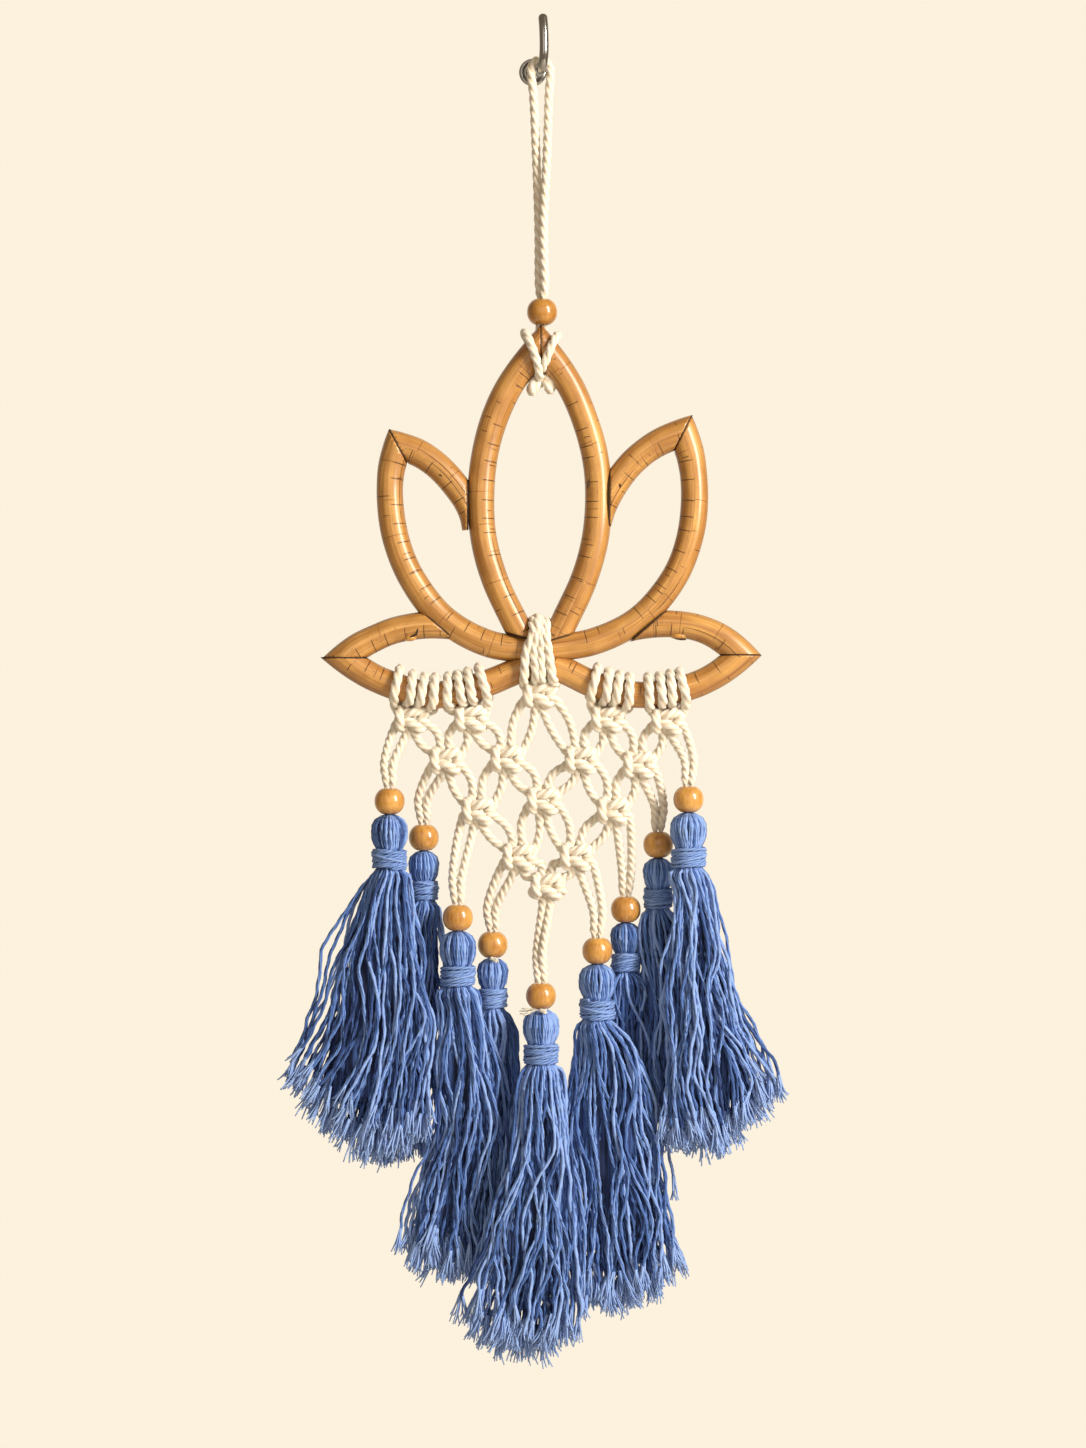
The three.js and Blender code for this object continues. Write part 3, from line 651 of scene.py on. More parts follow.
# Knots left on the canes, and the dark scars beside them: columns x, y, z, the half sizes across,
# deep and up, and the lean in degrees.
NUBS = [
    (-42.3, -2.4, -271.7, 1.7, 1.6, 1.5, 0),
    (-62.2, -2.2, -271.9, 3.2, 3.6, 1.7, -6),
    (65.4, -1.4, -270.9, 4.6, 3.4, 1.8, 4),
]
SCARS = [
    (-61, -5.2, -271.2, 2.6, 0.7, 0.5, -22),
    (-58.7, -5.8, -268.6, 0.45, 0.6, 2.1, 14),
    (66.2, -2.2, -272.4, 3, 1.6, 0.6, 6),
    (22.5, -4.7, -199, 0.5, 0.6, 2.4, 10),
    (-47.6, -5.9, -194.8, 1.0, 0.5, 0.4, 38),
    (37.6, -5.9, -199.6, 0.5, 0.6, 1.0, -20),
    (45.4, -5.7, -188.2, 0.5, 0.6, 1.2, -30),
]
# How a cane's girth swells along it: columns length, start and height.
SWELLS = [(23, 1.7, 0.11), (6.1, 2.9, 0.05)]
MITRE_FLARE = 0.09
FLARE_LENGTH = 20
PAST_THE_MITRE = 12
CUT_REACH = 32
COPE_GAP = 0.12
CANE_STEP = 1.6


def cane_line(name):
    """A cane's centreline, run on past its mitre with the same bend."""
    points = [np.array((x, 0, z), float) for x, z in CANES[name]]
    run = points[0] - points[1]
    next_run = points[1] - points[2]
    run *= PAST_THE_MITRE / np.linalg.norm(run)
    next_run *= PAST_THE_MITRE / np.linalg.norm(next_run)
    return route_through([points[0] + 1.5 * run - 0.5 * next_run] + points, CANE_STEP)


def cane_girth(name, line, wider=0.0):
    """A cane's radius along its line: a little thicker and thinner as canes grow."""
    seed = list(CANES).index(name)
    along = lengths_along(line)
    swell = sum(np.sin(along / length + seed * start) * height for length, start, height in SWELLS)
    flare = np.clip(1 - (along - PAST_THE_MITRE) / FLARE_LENGTH, 0, 1)
    return (CANE_RADIUS + swell) * (1 + MITRE_FLARE * flare) + wider


def to_the_right(along):
    """The unit direction to the right of a line in the frame's plane."""
    return np.array((along[1], -along[0])) / math.hypot(*along)


def split_off(mesh, spot, along):
    """Near a spot, cuts away what lies to the right of a line in the frame's plane."""
    shape = bmesh.new()
    shape.from_mesh(mesh)
    right = to_the_right(along)
    place = placed((spot[0], 0, spot[1]))
    faces = [face for face in shape.faces if (face.calc_center_median() - place).length < CUT_REACH * MM]
    edges = {edge for face in faces for edge in face.edges}
    corners = {corner for face in faces for corner in face.verts}
    cut = bmesh.ops.bisect_plane(
        shape,
        geom=list(corners) + list(edges) + faces,
        plane_co=place,
        plane_no=(right[0], 0, right[1]),
        clear_outer=True,
    )
    rim = [item for item in cut["geom_cut"] if isinstance(item, bmesh.types.BMEdge)]
    bmesh.ops.holes_fill(shape, edges=rim, sides=0)
    shape.to_mesh(mesh)
    shape.free()


def coped(mesh, carrier):
    """Cuts the room for the carrying cane out of a cane's end."""
    line = cane_line(carrier)
    girth = cane_girth(carrier, line, COPE_GAP)
    tool = added("cope", swept("cope", [(line, girth, PLAIN_SHADE)], "cane"))
    body = added("cane", mesh)
    cut = body.modifiers.new("cope", "BOOLEAN")
    cut.operation = "DIFFERENCE"
    cut.solver = "EXACT"
    cut.object = tool
    result = evaluated_mesh(body)
    bpy.data.objects.remove(tool)
    return result


def label_sides(mesh, line):
    """Tells the finish how far each point of a cane faces sideways, where it paints shade on the cane,
    and how far it faces the inside of the bend, where the cane is creased."""
    normals = np.empty(len(mesh.vertices) * 3, np.float32)
    places = np.empty(len(mesh.vertices) * 3, np.float32)
    mesh.vertex_normals.foreach_get("vector", normals)
    mesh.vertices.foreach_get("co", places)
    normals = normals.reshape(-1, 3)
    label(mesh, "painted_side_shade", 1 - abs(normals[:, 1]))
    across, up = line[:, 0], line[:, 2]
    table = np.column_stack((2 * across, 2 * up, np.ones(len(line))))
    centre = np.linalg.lstsq(table, across ** 2 + up ** 2, rcond=None)[0]
    inwards = np.array(placed((centre[0], 0, centre[1]))) - places.reshape(-1, 3)
    inwards[:, 1] = 0
    inwards /= np.linalg.norm(inwards, axis=1)[:, None]
    label(mesh, "inside", 0.5 + 0.5 * np.sum(inwards * normals, axis=1))


def bent_cane(name):
    line = cane_line(name)
    shade = list(CANES).index(name) / len(CANES)
    mesh = swept(name, [(line, cane_girth(name, line), shade)], "cane")
    for along, left, right in MITRES:
        away = to_the_right(along) * SEAM / 2
        if name == left:
            split_off(mesh, CANES[name][0] - away, along)
        elif name == right:
            split_off(mesh, CANES[name][0] + away, (-along[0], -along[1]))
    if name in MEET_AT_CENTRE:
        side = math.copysign(1, CANES[name][0][0])
        split_off(mesh, (side * GAP / 2, CENTRE_HEIGHT), (0, -side))
    if name in SAWN:
        split_off(mesh, *SAWN[name])
    if name in COPED:
        mesh = coped(mesh, COPED[name])
    label_sides(mesh, line)
    finished("bent_" + name, mesh, CANE, "cane", "cane_" + name)


def seam_slice(seams, name, spot, along, low, high):
    """Adds a dark slice of a cane, from low to high to the right of a line in the frame's plane."""
    line = cane_line(name)
    near = np.linalg.norm(line - (spot[0], 0, spot[1]), axis=1) < SEAM_REACH
    girth = cane_girth(name, line)[near] - SEAM_DEPTH
    mesh = swept("seam", [(line[near], girth, PLAIN_SHADE)], "cane")
    right = to_the_right(along)
    split_off(mesh, spot + right * high, along)
    split_off(mesh, spot + right * low, (-along[0], -along[1]))
    seams.from_mesh(mesh)
    bpy.data.meshes.remove(mesh)


def painted_seam_shade():
    """Dark slices in each mitre's seam and against each sawn end: painted shade in the seams."""
    seams = bmesh.new()
    for along, left, right in MITRES:
        seam_slice(seams, left, CANES[left][0], along, -SEAM / 2, SEAM / 2)
    for name, (spot, along) in SAWN.items():
        seam_slice(seams, name, spot, along, 0, SEAM)
    finished("painted_seam_shade", as_mesh(seams, "painted_seam_shade"), SEAM_SHADE_AND_SCARS, "cane")


def lumps(name, table, material):
    """Small flattened balls on the canes."""
    shape = bmesh.new()
    for x, y, z, across, deep, up, lean in table:
        made = bmesh.ops.create_uvsphere(shape, u_segments=16, v_segments=10, radius=MM)["verts"]
        bmesh.ops.scale(shape, vec=(across, deep, up), verts=made)
        turn = Matrix.Rotation(math.radians(lean), 3, "Y")
        bmesh.ops.rotate(shape, cent=(0, 0, 0), matrix=turn, verts=made)
        bmesh.ops.translate(shape, vec=placed((x, y, z)), verts=made)
    finished(name, as_mesh(shape, name), material, "cane")


for cane_name in CANES:
    bent_cane(cane_name)
painted_seam_shade()
lumps("cane_nubs", NUBS, BEAD)
lumps("cane_scars", SCARS, SEAM_SHADE_AND_SCARS)


# Beads, turned on a lathe: the profile is a barrel with an upright bore through it.
BEAD_SQUARENESS = 2.15
BARREL_POINTS = 18
BORE_CHAMFER = 0.5
LATHE_STEPS = 48


def turned(profile):
    """A mesh turned about the upright axis from a closed profile of radius and height in mm."""
    shape = bmesh.new()
    points = [shape.verts.new((radius * MM, 0, up * MM)) for radius, up in profile]
    edges = [shape.edges.new((a, b)) for a, b in zip(points, points[1:] + points[:1])]
    bmesh.ops.spin(
        shape, geom=points + edges, cent=(0, 0, 0), axis=(0, 0, 1),
        angle=2 * math.pi, steps=LATHE_STEPS, use_merge=True, use_duplicate=False,
    )
    bmesh.ops.remove_doubles(shape, verts=shape.verts, dist=MM / 1000)
    bmesh.ops.recalc_face_normals(shape, faces=shape.faces)
    return shape


def turned_bead(name, place, node, finish):
    mouth = math.acos((BORE_RADIUS + BORE_CHAMFER) / BEAD_RADIUS)
    barrel = []
    for angle in np.linspace(-mouth, mouth, BARREL_POINTS):
        cosine = abs(math.cos(angle)) ** (2 / BEAD_SQUARENESS)
        sine = math.copysign(abs(math.sin(angle)) ** (2 / BEAD_SQUARENESS), angle)
        barrel.append((BEAD_RADIUS * cosine, sine))
    rim = BEAD_HALF_HEIGHT - 0.15
    barrel = [(reach, up / barrel[-1][1] * rim) for reach, up in barrel]
    bore = [(BORE_RADIUS, rim - 0.3), (BORE_RADIUS, 0), (BORE_RADIUS, -rim + 0.3)]
    shape = turned(barrel + bore)
    bmesh.ops.translate(shape, verts=shape.verts, vec=placed(place))
    finished(name, as_mesh(shape, name), finish, "bead_wood", node)


# The wall hook: its wire as columns out from the wall and up, and its flange's profile.
HOOK_TURN = 13.5
HOOK_WIRE = [(1, 0), (8, 0), (13, -1.5), (17, -1.6), (21.5, 1.5), (23.5, 8), (22.7, 16.5), (20.4, 24.6)]
HOOK_RADIUS = 2.2
FLANGE = [
    (0, 0), (6.4, 0), (6.6, 0.7), (6.5, 1.5), (6.1, 2.1), (5.5, 2.3), (4.9, 2), (4.4, 1.3), (3.8, 0.9),
    (3.2, 1.1), (2.6, 1.8), (0, 2.2),
]


def wall_hook():
    angle = math.radians(HOOK_TURN)
    wire = np.array([(out * math.sin(angle), -out * math.cos(angle), up) for out, up in HOOK_WIRE])
    line = route_through(wire - HANG, 0.8)
    near_end = np.clip((lengths_along(line)[-1] - lengths_along(line)) / HOOK_RADIUS, 0.02, 1)
    radius = HOOK_RADIUS * np.sqrt(1 - (1 - near_end) ** 2)
    mesh = swept("hook_wire", [(line, radius, PLAIN_SHADE)], "cane")
    finished("hook_wire", mesh, STEEL, "hook_steel", "wall_hook")
    flange = turned(FLANGE)
    bmesh.ops.transform(flange, matrix=Matrix.Rotation(math.radians(90), 4, "X"), verts=flange.verts)
    finished("hook_flange", as_mesh(flange, "hook_flange"), STEEL, "hook_steel")


wall_hook()
turned_bead("turned_top_bead", TOP_BEAD, "top_bead", BROWN_BEAD)

# The net. Square knots row by row from the top: columns x and z.
KNOT_ROWS = [
    [(-62.4, -310.4), (-33.8, -310.2), (-1.4, -298.8), (31, -310.4), (59.5, -311.4)],
    [(-45.7, -330.5), (-16.7, -329.5), (18.6, -330), (46.2, -332.4)],
    [(-30.5, -354.3), (0.5, -349.5), (33.8, -354.3)],
    [(-11, -376.2), (16.2, -376.2)],
    [(2.4, -390)],
]
# How each of a knot's four cords runs through it, from its entry to its exit.
KNOT_PATHS = {
    "left_carrier": [
        (-6.6, 0.8, 4.2), (-4, -0.6, 3), (-1, -3.4, 2.8), (2.2, -4, 3.7), (5.2, -2.6, 4.7), (6.9, 0.6, 3.4),
        (7.2, 2.2, 0), (7, 0.6, -3.2), (5.4, -2.8, -4.9), (2.2, -4, -2.9), (-1, -3.6, -1.5),
        (-4, -0.8, -1.5), (-6.8, 0.8, -2.8),
    ],
    "left_core": [(-2.2, 0.4, 6.6), (-1.9, 0, 3), (-1.9, 0, -3), (-1.5, 0.2, -6.2)],
    "right_core": [(2.4, 0.4, 6.6), (1.9, 0, 3), (1.9, 0, -3), (2.2, 0.2, -6.6)],
    "right_carrier": [
        (8.8, 0.2, 4.6), (6.8, -1.4, 2), (4.9, 0.8, 1.2), (2.4, 3.6, 1.6), (-2, 3.9, 2.2), (-4.4, 2.2, 3.8),
        (-4.9, -1.6, 4.8), (-5.4, -4.6, 2.8), (-5.3, -5.1, -0.4), (-4.8, -3.8, -3.4), (-3.9, -0.2, -4.4),
        (-2.2, 3.2, -3), (1.8, 3.9, -1.8), (4.6, 1.4, -1.2), (6.2, -2.2, -0.9), (8.4, -1.8, -2.2),
    ],
}
# A cord that leaves a knot by this role enters the next one by that role.
NEXT_ROLE = {
    "left_carrier": "right_core",
    "left_core": "right_carrier",
    "right_carrier": "left_core",
    "right_core": "left_carrier",
}
OUTER = ("left_carrier", "right_carrier")
LINK_BOW = {True: 2.2, False: 1.4}
LAST_ROW = 4
KNOT_SCALE = 0.93
KNOT_PLUMP = 0.18
KNOT_REACH = 9.5
KNOT_EASE = 3

# The wraps round the lower canes: where each crosses the cane, its lean in degrees, its knot.
CANE_WRAPS = [
    (-68.8, -11, 0), (-61.6, -4, 0), (-56.6, -9, 0), (-50.8, -3, 0),
    (-44.3, 0, 1), (-38.3, 10, 1), (-33.4, 11, 1), (-27.2, 18, 1),
    (25, -14, 3), (31.5, -5, 3), (36.2, -9, 3), (41.9, -2, 3),
    (51.4, 3, 4), (57.4, 7, 4), (62.2, 5, 4), (67.8, 15, 4),
]
WRAP_REACH = CANE_RADIUS + 0.1 + CORD_RADIUS * 0.94
WRAP_ANGLES = [236, 205, 172, 138, 104, 72, 38, 4, -28]
WRAP_PLUMP = 0.1
WRAP_LAY = 17
WRAPS_ABOVE = -308
WRAP_EASE = 4
# The strands over the frame's crotch: x at the top, in the middle and at the foot.
CENTRE_WRAPS = [(-3.8, -6.9, -7.9), (-1.7, -3.3, -2.2), (0.2, 0, 0.4), (2.4, 3.5, 5.5)]
CENTRE_TOPS = (-264.2, -263.2, -264.4, -265)
CENTRE_FOOT = -292
CENTRE_REACH = 8.3
ROLES = ["left_carrier", "left_core", "right_core", "right_carrier"]

# The tassels: kind, the bead's x and z, the half width of the shoulder, the skirt's y, and its
# middle and tips as x, half width and z. The tips on one side lie higher by the rise, and those on
# both sides by the lift. Some yarns hang clear of the skirt on the loose side, -1 or 1.
FRONT = SimpleNamespace(y=-5.5, radius=9.1, height=15.6, depth=5.6, folds=40, yarns=122)
BEHIND = SimpleNamespace(y=6.2, radius=7.7, height=13.4, depth=4.4, folds=32, yarns=82)
COLUMNS = (
    "kind", "x", "z", "shoulder", "skirt_y", "mid_x", "mid_half", "mid_z",
    "tip_x", "tip_half", "tip_z", "rise", "lift", "loose",
)
TASSELS = [SimpleNamespace(**dict(zip(COLUMNS, row))) for row in [
    (FRONT, -71.9, -349.5, 10.6, -11, -76.7, 23, -444, -86.5, 31, -506, -27, 11, -1),
    (BEHIND, -56, -367.1, 7.2, 7.4, -60.4, 10.5, -449, -65.2, 13.5, -508, 0, 0, 1),
    (FRONT, -39.5, -404.8, 8.4, -6.5, -36.2, 15.5, -497, -41, 22.5, -564, -8, 3, 0),
    (BEHIND, -23.1, -418.3, 9.6, 8.2, -21.9, 10.5, -482, -23.3, 12.5, -552, 0, 0, 0),
    (FRONT, 0, -441.9, 10.6, -20, -1.4, 17, -530, -7, 25.5, -598, 0, 15, 0),
    (FRONT, 26.7, -420.5, 12.4, -6.5, 33, 20, -501, 40, 23.5, -577, 8, 4, 0),
    (BEHIND, 40.5, -401.4, 8.4, 8.4, 41.5, 8.5, -468, 45, 9.5, -535, 0, 0, 0),
    (BEHIND, 56, -370.5, 9.6, 5, 58.5, 11.5, -443, 66.5, 13, -501, 0, 0, 0),
    (FRONT, 70, -348.6, 8.6, -11, 75.6, 15.6, -444, 85.5, 24.5, -504, 24, 3, 1),
]]
# Which tassel hangs from a knot's free corner: by row, column and side.
LEADS = {
    (0, 0, -1): 0, (1, 0, -1): 1, (2, 0, -1): 2, (3, 0, -1): 3,
    (4, 0, -1): 4, (4, 0, 1): 4, (3, 1, 1): 5, (2, 2, 1): 6, (1, 3, 1): 7, (0, 4, 1): 8,
}
STRAND_IN_BORE = 1.45
CENTRE_TASSEL = 4
# White ends of the leads that show under two of the beads: the tassel, the way from its bead's
# centre, the heading, and how far they reach.
TAILS = [
    (4, (-3, -2.5, -6.7), (-1, -0.15, -0.1), 6.5),
    (4, (0.6, -7.2, -6.6), (1, -0.3, -0.2), 2.6),
    (3, (0.2, -5.8, -6.5), (1, -0.3, -0.3), 2.8),
]
TAIL_FIBRES = 6
TAIL_SPREAD = 0.3


def knot_path(row, column, role):
    x, z = KNOT_ROWS[row][column]
    return [np.array((x + dx * KNOT_SCALE, dy, z + dz * KNOT_SCALE)) for dx, dy, dz in KNOT_PATHS[role]]


def lead_path(number, role, side):
    """A lead's way from its knot into a tassel's bead. The centre tassel's two hang close."""
    tassel = TASSELS[number]
    y = tassel.kind.y
    strand = -1 if role in ("left_carrier", "right_core") else 1
    lean = strand * 0.7 + side * 0.4
    before = 0
    if number == CENTRE_TASSEL:
        strand = side
        lean = -0.7
        before = side * 0.9
    x = tassel.x + strand * STRAND_IN_BORE
    top = tassel.z + BEAD_HALF_HEIGHT
    return [
        (x + lean, y * 0.75 - before, top + 12),
        (x, y, top + 3),
        (x, y, tassel.z - BEAD_HALF_HEIGHT + 0.6),
    ]


def cord_route(start, column, role):
    """A cord's whole way: from its wrap through each knot it is in, down to its tassel."""
    route = list(start)
    row = 0
    while True:
        path = knot_path(row, column, role)
        route += path
        side = -1 if role.startswith("left") else 1
        tassel = LEADS.get((row, column, side))
        if row == LAST_ROW and role in OUTER:
            return route + tucked_end(path[-1], side), None
        if tassel is not None:
            return route + lead_path(tassel, role, side), tassel
        row += 1
        column += min(side, 0)
        leaving = role
        role = NEXT_ROLE[role]
        entry = knot_path(row, column, role)[0]
        run = entry - path[-1]
        across = np.array((-run[2], 0, run[0])) / np.linalg.norm(run)
        bow = LINK_BOW[leaving in OUTER]
        if leaving in ("left_carrier", "right_core"):
            bow = -bow
        route.append((path[-1] + entry) / 2 + across * bow)


def tucked_end(end, side):
    """The last knot's outer cords end behind it."""
    return [end + (-side * 1.5, 3.4, -1.8), end + (-side * 4.5, 4.6, -0.6)]


def lower_cane_height(x):
    line = cane_line("low_left_lower" if x < 0 else "low_right_lower")
    return line[np.argmin(abs(line[:, 0] - x)), 2]


def cane_wrap(number):
    """A strand's turn round the lower cane, from its bar at the back over the top to the front."""
    x, lean, column = CANE_WRAPS[number]
    partner = CANE_WRAPS[number ^ 1][0]
    z = lower_cane_height(x)
    turn = math.radians(lean)
    points = [((x + partner) / 2, WRAP_REACH * 0.62, z - WRAP_REACH * 0.95)]
    for angle in WRAP_ANGLES:
        up = math.sin(math.radians(angle)) * WRAP_REACH
        out = -math.cos(math.radians(angle)) * WRAP_REACH
        points.append((x - math.sin(turn) * up, out, z + math.cos(turn) * up))
    return points, column


def centre_wrap(number):
    """A strand over the frame's crotch, from its bar at the back to the front."""
    top_x, middle_x, foot_x = CENTRE_WRAPS[number]
    partner = CENTRE_WRAPS[number ^ 1][2]
    top = CENTRE_TOPS[number]
    middle = (top + CENTRE_FOOT) / 2
    reach = CENTRE_REACH
    return [
        ((foot_x + partner) / 2, reach * 0.8, CENTRE_FOOT - 2.5),
        (foot_x, reach * 0.92, CENTRE_FOOT + 1),
        (middle_x, reach, middle),
        (top_x, reach, top - 6),
        (top_x, 5.2, top - 0.7),
        (top_x, 0, top + 1),
        (top_x, -5.2, top - 0.7),
        (top_x, -reach, top - 6),
        (middle_x, -reach, middle),
        (foot_x, -reach * 0.9, CENTRE_FOOT + 1),
    ]


def over_canes(line):
    """How far each point of a cord belongs to its wrap over the canes, from 0 to 1."""
    return np.clip((line[:, 2] - WRAPS_ABOVE) / WRAP_EASE, 0, 1)


def net_lay(line):
    """The lay of a net cord's plies, longer where it is drawn tight over the canes."""
    return CORD_LAY + (WRAP_LAY - CORD_LAY) * over_canes(line)


def net_cords():
    """Every cord of the net: two wraps joined by the bar at the back, each run on to its tassel."""
    runs = []
    knots = np.array([(x, 0, z) for row in KNOT_ROWS for x, z in row])
    starts = [(*cane_wrap(i), ROLES[i % 4]) for i in range(len(CANE_WRAPS))]
    starts += [(centre_wrap(i), 2, ROLES[i]) for i in range(4)]
    for first, second in zip(starts[::2], starts[1::2]):
        left, left_tassel = cord_route(*first)
        right, right_tassel = cord_route(*second)
        line = route_through(left[::-1] + right[1:], CORD_STEP)
        nearest = np.min(np.linalg.norm(line[:, None] - knots, axis=2), axis=1)
        at_knot = np.clip((KNOT_REACH - nearest) / KNOT_EASE, 0, 1)
        plumpness = np.maximum(KNOT_PLUMP * at_knot, WRAP_PLUMP * over_canes(line))
        radius = CORD_RADIUS * (1 + plumpness)
        for tassel in (left_tassel, right_tassel):
            if tassel is None:
                continue
            bead = (TASSELS[tassel].x, 0, TASSELS[tassel].z)
            near = abs(line[:, 0] - bead[0]) < BEAD_RADIUS
            radius = np.where(near, drawn_in(line, bead, radius), radius)
        runs.append((line, radius, PLAIN_SHADE))
    return runs


cords = net_cords()
net = swept("knotted_net", cords, "cord", [net_lay(line) for line, radius, shade in cords])
finished("knotted_net", net, COTTON, "cotton_cord", "macrame_net")


def lead_ends():
    rng = np.random.default_rng(5)
    fibres = []
    for number, way, heading, reach in TAILS:
        tassel = TASSELS[number]
        end = np.array((tassel.x, tassel.kind.y, tassel.z)) + way
        fibres += frayed(end, np.array(heading), reach, TAIL_FIBRES, TAIL_SPREAD, rng, PLAIN_SHADE)
    mesh = swept("lead_ends", fibres, "fibre")
    finished("lead_ends", mesh, COTTON, "cotton_cord")


lead_ends()

# Tassels
YARN_RADIUS = 0.92
YARN_LAY = 26
YARN_STEP = 2.9
INNER_STEP = 5.2
OUTER_FIBRES = 6
INNER_FIBRES = 5
BINDING_HEIGHT = 10.4
BINDING_TURNS = 7
BINDING_LAY = 12
WINDING_RADIUS = 0.88
WINDING_SHADE = 0.6
WINDING_STANDS_OUT = 1.05
STEPS_IN_TURN = 40
UNEVEN_RATES = (0.37, 1.3, 2.2)
PUFF_RATE = 0.61
# The strands that cross a binding: their heights at both ends as shares of its height, where they
# begin and how long they are, in turns.
CROSSING_STRANDS = [(0.2, 0.75, 0.1, 0.8), (0.9, 0.35, 0.55, 0.7)]
CROSSING_RADIUS = 0.62
CROSSING_SHADE = 0.75
CROSSING_LIFT = 0.85
CROSSING_STEPS = 30
SHOULDER_DROP = 11
SPREAD_AT_FOOT = 1.8
GOLDEN_ANGLE = math.pi * (3 - math.sqrt(5))
# A fold over the head, as shares of its radius and of its height down.
HEAD_PROFILE = [
    (0.16, -0.035), (0.42, 0.01), (0.69, 0.09), (0.91, 0.24), (1, 0.46), (0.94, 0.72), (0.79, 0.93),
]
STRAYS = 5
YARNS_IN_CLUMP = 6
CLUMPING = 0.6
WANDER_GROWS = 45
KINKS_GROW = 130
FRAY_SPREAD = 0.24
ENDS_LIGHTER = 0.46
FILLING_SIDES = 24
FILLING_FALL = 0.72


def neck_radius(kind):
    return kind.radius - 2.6


def head_top(tassel):
    return tassel.z - BEAD_HALF_HEIGHT - GAP


def neck_foot(tassel):
    return head_top(tassel) - tassel.kind.height - BINDING_HEIGHT - 2 * GAP


def yarn_layout(kind, rng):
    """Each yarn's angle and share of the radius: an outer ring of folds and the yarns inside."""
    folds = kind.folds
    layout = [(2 * math.pi * (i + rng.uniform(-0.13, 0.13)) / folds, 1, True) for i in range(folds)]
    inner = kind.yarns - folds
    for i in range(inner):
        share = math.sqrt((i + 0.5) / inner) * 0.96
        layout.append((i * GOLDEN_ANGLE, share, False))
    return layout


def head_points(tassel, angle, rng):
    """A fold's way over the head, from under the bead down to the binding."""
    kind = tassel.kind
    reach = kind.radius - YARN_RADIUS * rng.uniform(0.95, 1.3)
    swing = rng.uniform(-0.1, 0.1)
    points = []
    for share, down in HEAD_PROFILE:
        turn = angle + swing * math.sin(down * 4)
        points.append((
            tassel.x + math.cos(turn) * reach * share,
            kind.y + math.sin(turn) * reach * share,
            head_top(tassel) - down * kind.height - YARN_RADIUS * 0.7 * (1 - down),
        ))
    return points


def skirt_points(tassel, across, deep, share, tip_across=0, drop=0, drift=0, clear=0):
    """A yarn's way down the skirt: over the shoulder, past the middle, to its tip."""
    kind = tassel.kind
    foot = neck_foot(tassel)
    fall = (foot - SHOULDER_DROP - tassel.z) / (tassel.mid_z - tassel.z)
    y = kind.y * (1 - fall) + tassel.skirt_y * fall
    x = tassel.x * (1 - fall) + tassel.mid_x * fall
    shoulder = tassel.shoulder * share
    deep_share = deep * share * kind.depth
    out = tip_across * share
    tip_z = tassel.tip_z + max(0, out * tassel.rise) + out * out * tassel.lift + drop
    near_foot = (neck_radius(kind) + SPREAD_AT_FOOT) * share
    mid_x = tassel.mid_x + across * share * tassel.mid_half + drift * 0.6 + clear
    tip_x = tassel.tip_x + out * tassel.tip_half + drift
    return np.array([
        (tassel.x + across * near_foot, kind.y + deep * near_foot, foot - 2.2),
        (x + across * shoulder + clear * 0.4, y + deep * shoulder * 0.62, foot - SHOULDER_DROP),
        (mid_x, tassel.skirt_y + deep_share, tassel.mid_z),
        (tip_x, tassel.skirt_y + deep_share * 1.1, tip_z),
    ])


def wave(along, reach, length, start):
    return reach * np.sin(along * 2 * math.pi / length + start)


def wandering(line, root, clump, rng):
    """Gives a yarn its clump's wander, its own, and small kinks that grow towards the end."""
    along = np.maximum(lengths_along(line) - root, 0)
    grown = np.clip(along / WANDER_GROWS, 0, 1)
    kinked = np.clip(along / KINKS_GROW, 0, 1) ** 1.5
    start = rng.uniform(0, 2 * math.pi, 6)
    line[:, 0] += grown * (
        wave(along, clump.reach, clump.length, clump.start)
        + wave(along, rng.uniform(0.8, 2.6), rng.uniform(48, 95), start[0])
        + wave(along, 0.4, rng.uniform(24, 36), start[1])
    )
    line[:, 0] += kinked * wave(along, rng.uniform(0.3, 1), rng.uniform(12, 21), start[2])
    line[:, 1] += grown * (
        wave(along, clump.reach * 0.5, clump.length, clump.start + 2)
        + wave(along, 0.9, rng.uniform(45, 80), start[3])
    )
    line[:, 1] += kinked * wave(along, 0.6, rng.uniform(12, 21), start[4])


def yarn_run(tassel, angle, share, on_head, clump, stray, rng):
    """One yarn: over the head if it is a fold, through the binding, and down the skirt."""
    kind = tassel.kind
    across = math.cos(angle)
    deep = math.sin(angle)
    neck = (neck_radius(kind) - YARN_RADIUS * 0.8) * share
    neck_top = head_top(tassel) - kind.height
    points = head_points(tassel, angle, rng) if on_head else []
    for z in (neck_top - 0.5, neck_foot(tassel) + 0.5):
        points.append((tassel.x + across * neck, kind.y + deep * neck, z))
    root = lengths_along(route_through(points, YARN_STEP))[-1]
    drift = -math.copysign(rng.uniform(5, 18), across) if stray else rng.uniform(-2, 2)
    reach = share * (1.2 if stray else rng.uniform(0.92, 1.05))
    tip_across = across * (1 - CLUMPING) + clump.across * CLUMPING
    is_clear = on_head and across * tassel.loose > 0.9 and rng.random() < 0.6
    clear = rng.uniform(3, 8.5) * tassel.loose if is_clear else 0
    drop = clump.drop + rng.uniform(-4, 4)
    points += list(skirt_points(tassel, across, deep, reach, tip_across, drop, drift, clear))
    line = route_through(points, YARN_STEP if on_head else INNER_STEP)
    wandering(line, root, clump, rng)
    radius = np.full(len(line), YARN_RADIUS * rng.uniform(0.88, 1.1))
    radius[-2:] *= (0.92, 0.7)
    # Inner yarns are darker, and darker still towards the tassel's middle: painted shade inside the tassel.
    shade = rng.normal(0.57, 0.24) if on_head else rng.normal(0.41, 0.12) - 0.2 * (1 - share)
    return line, radius, float(np.clip(shade, 0, 0.9))


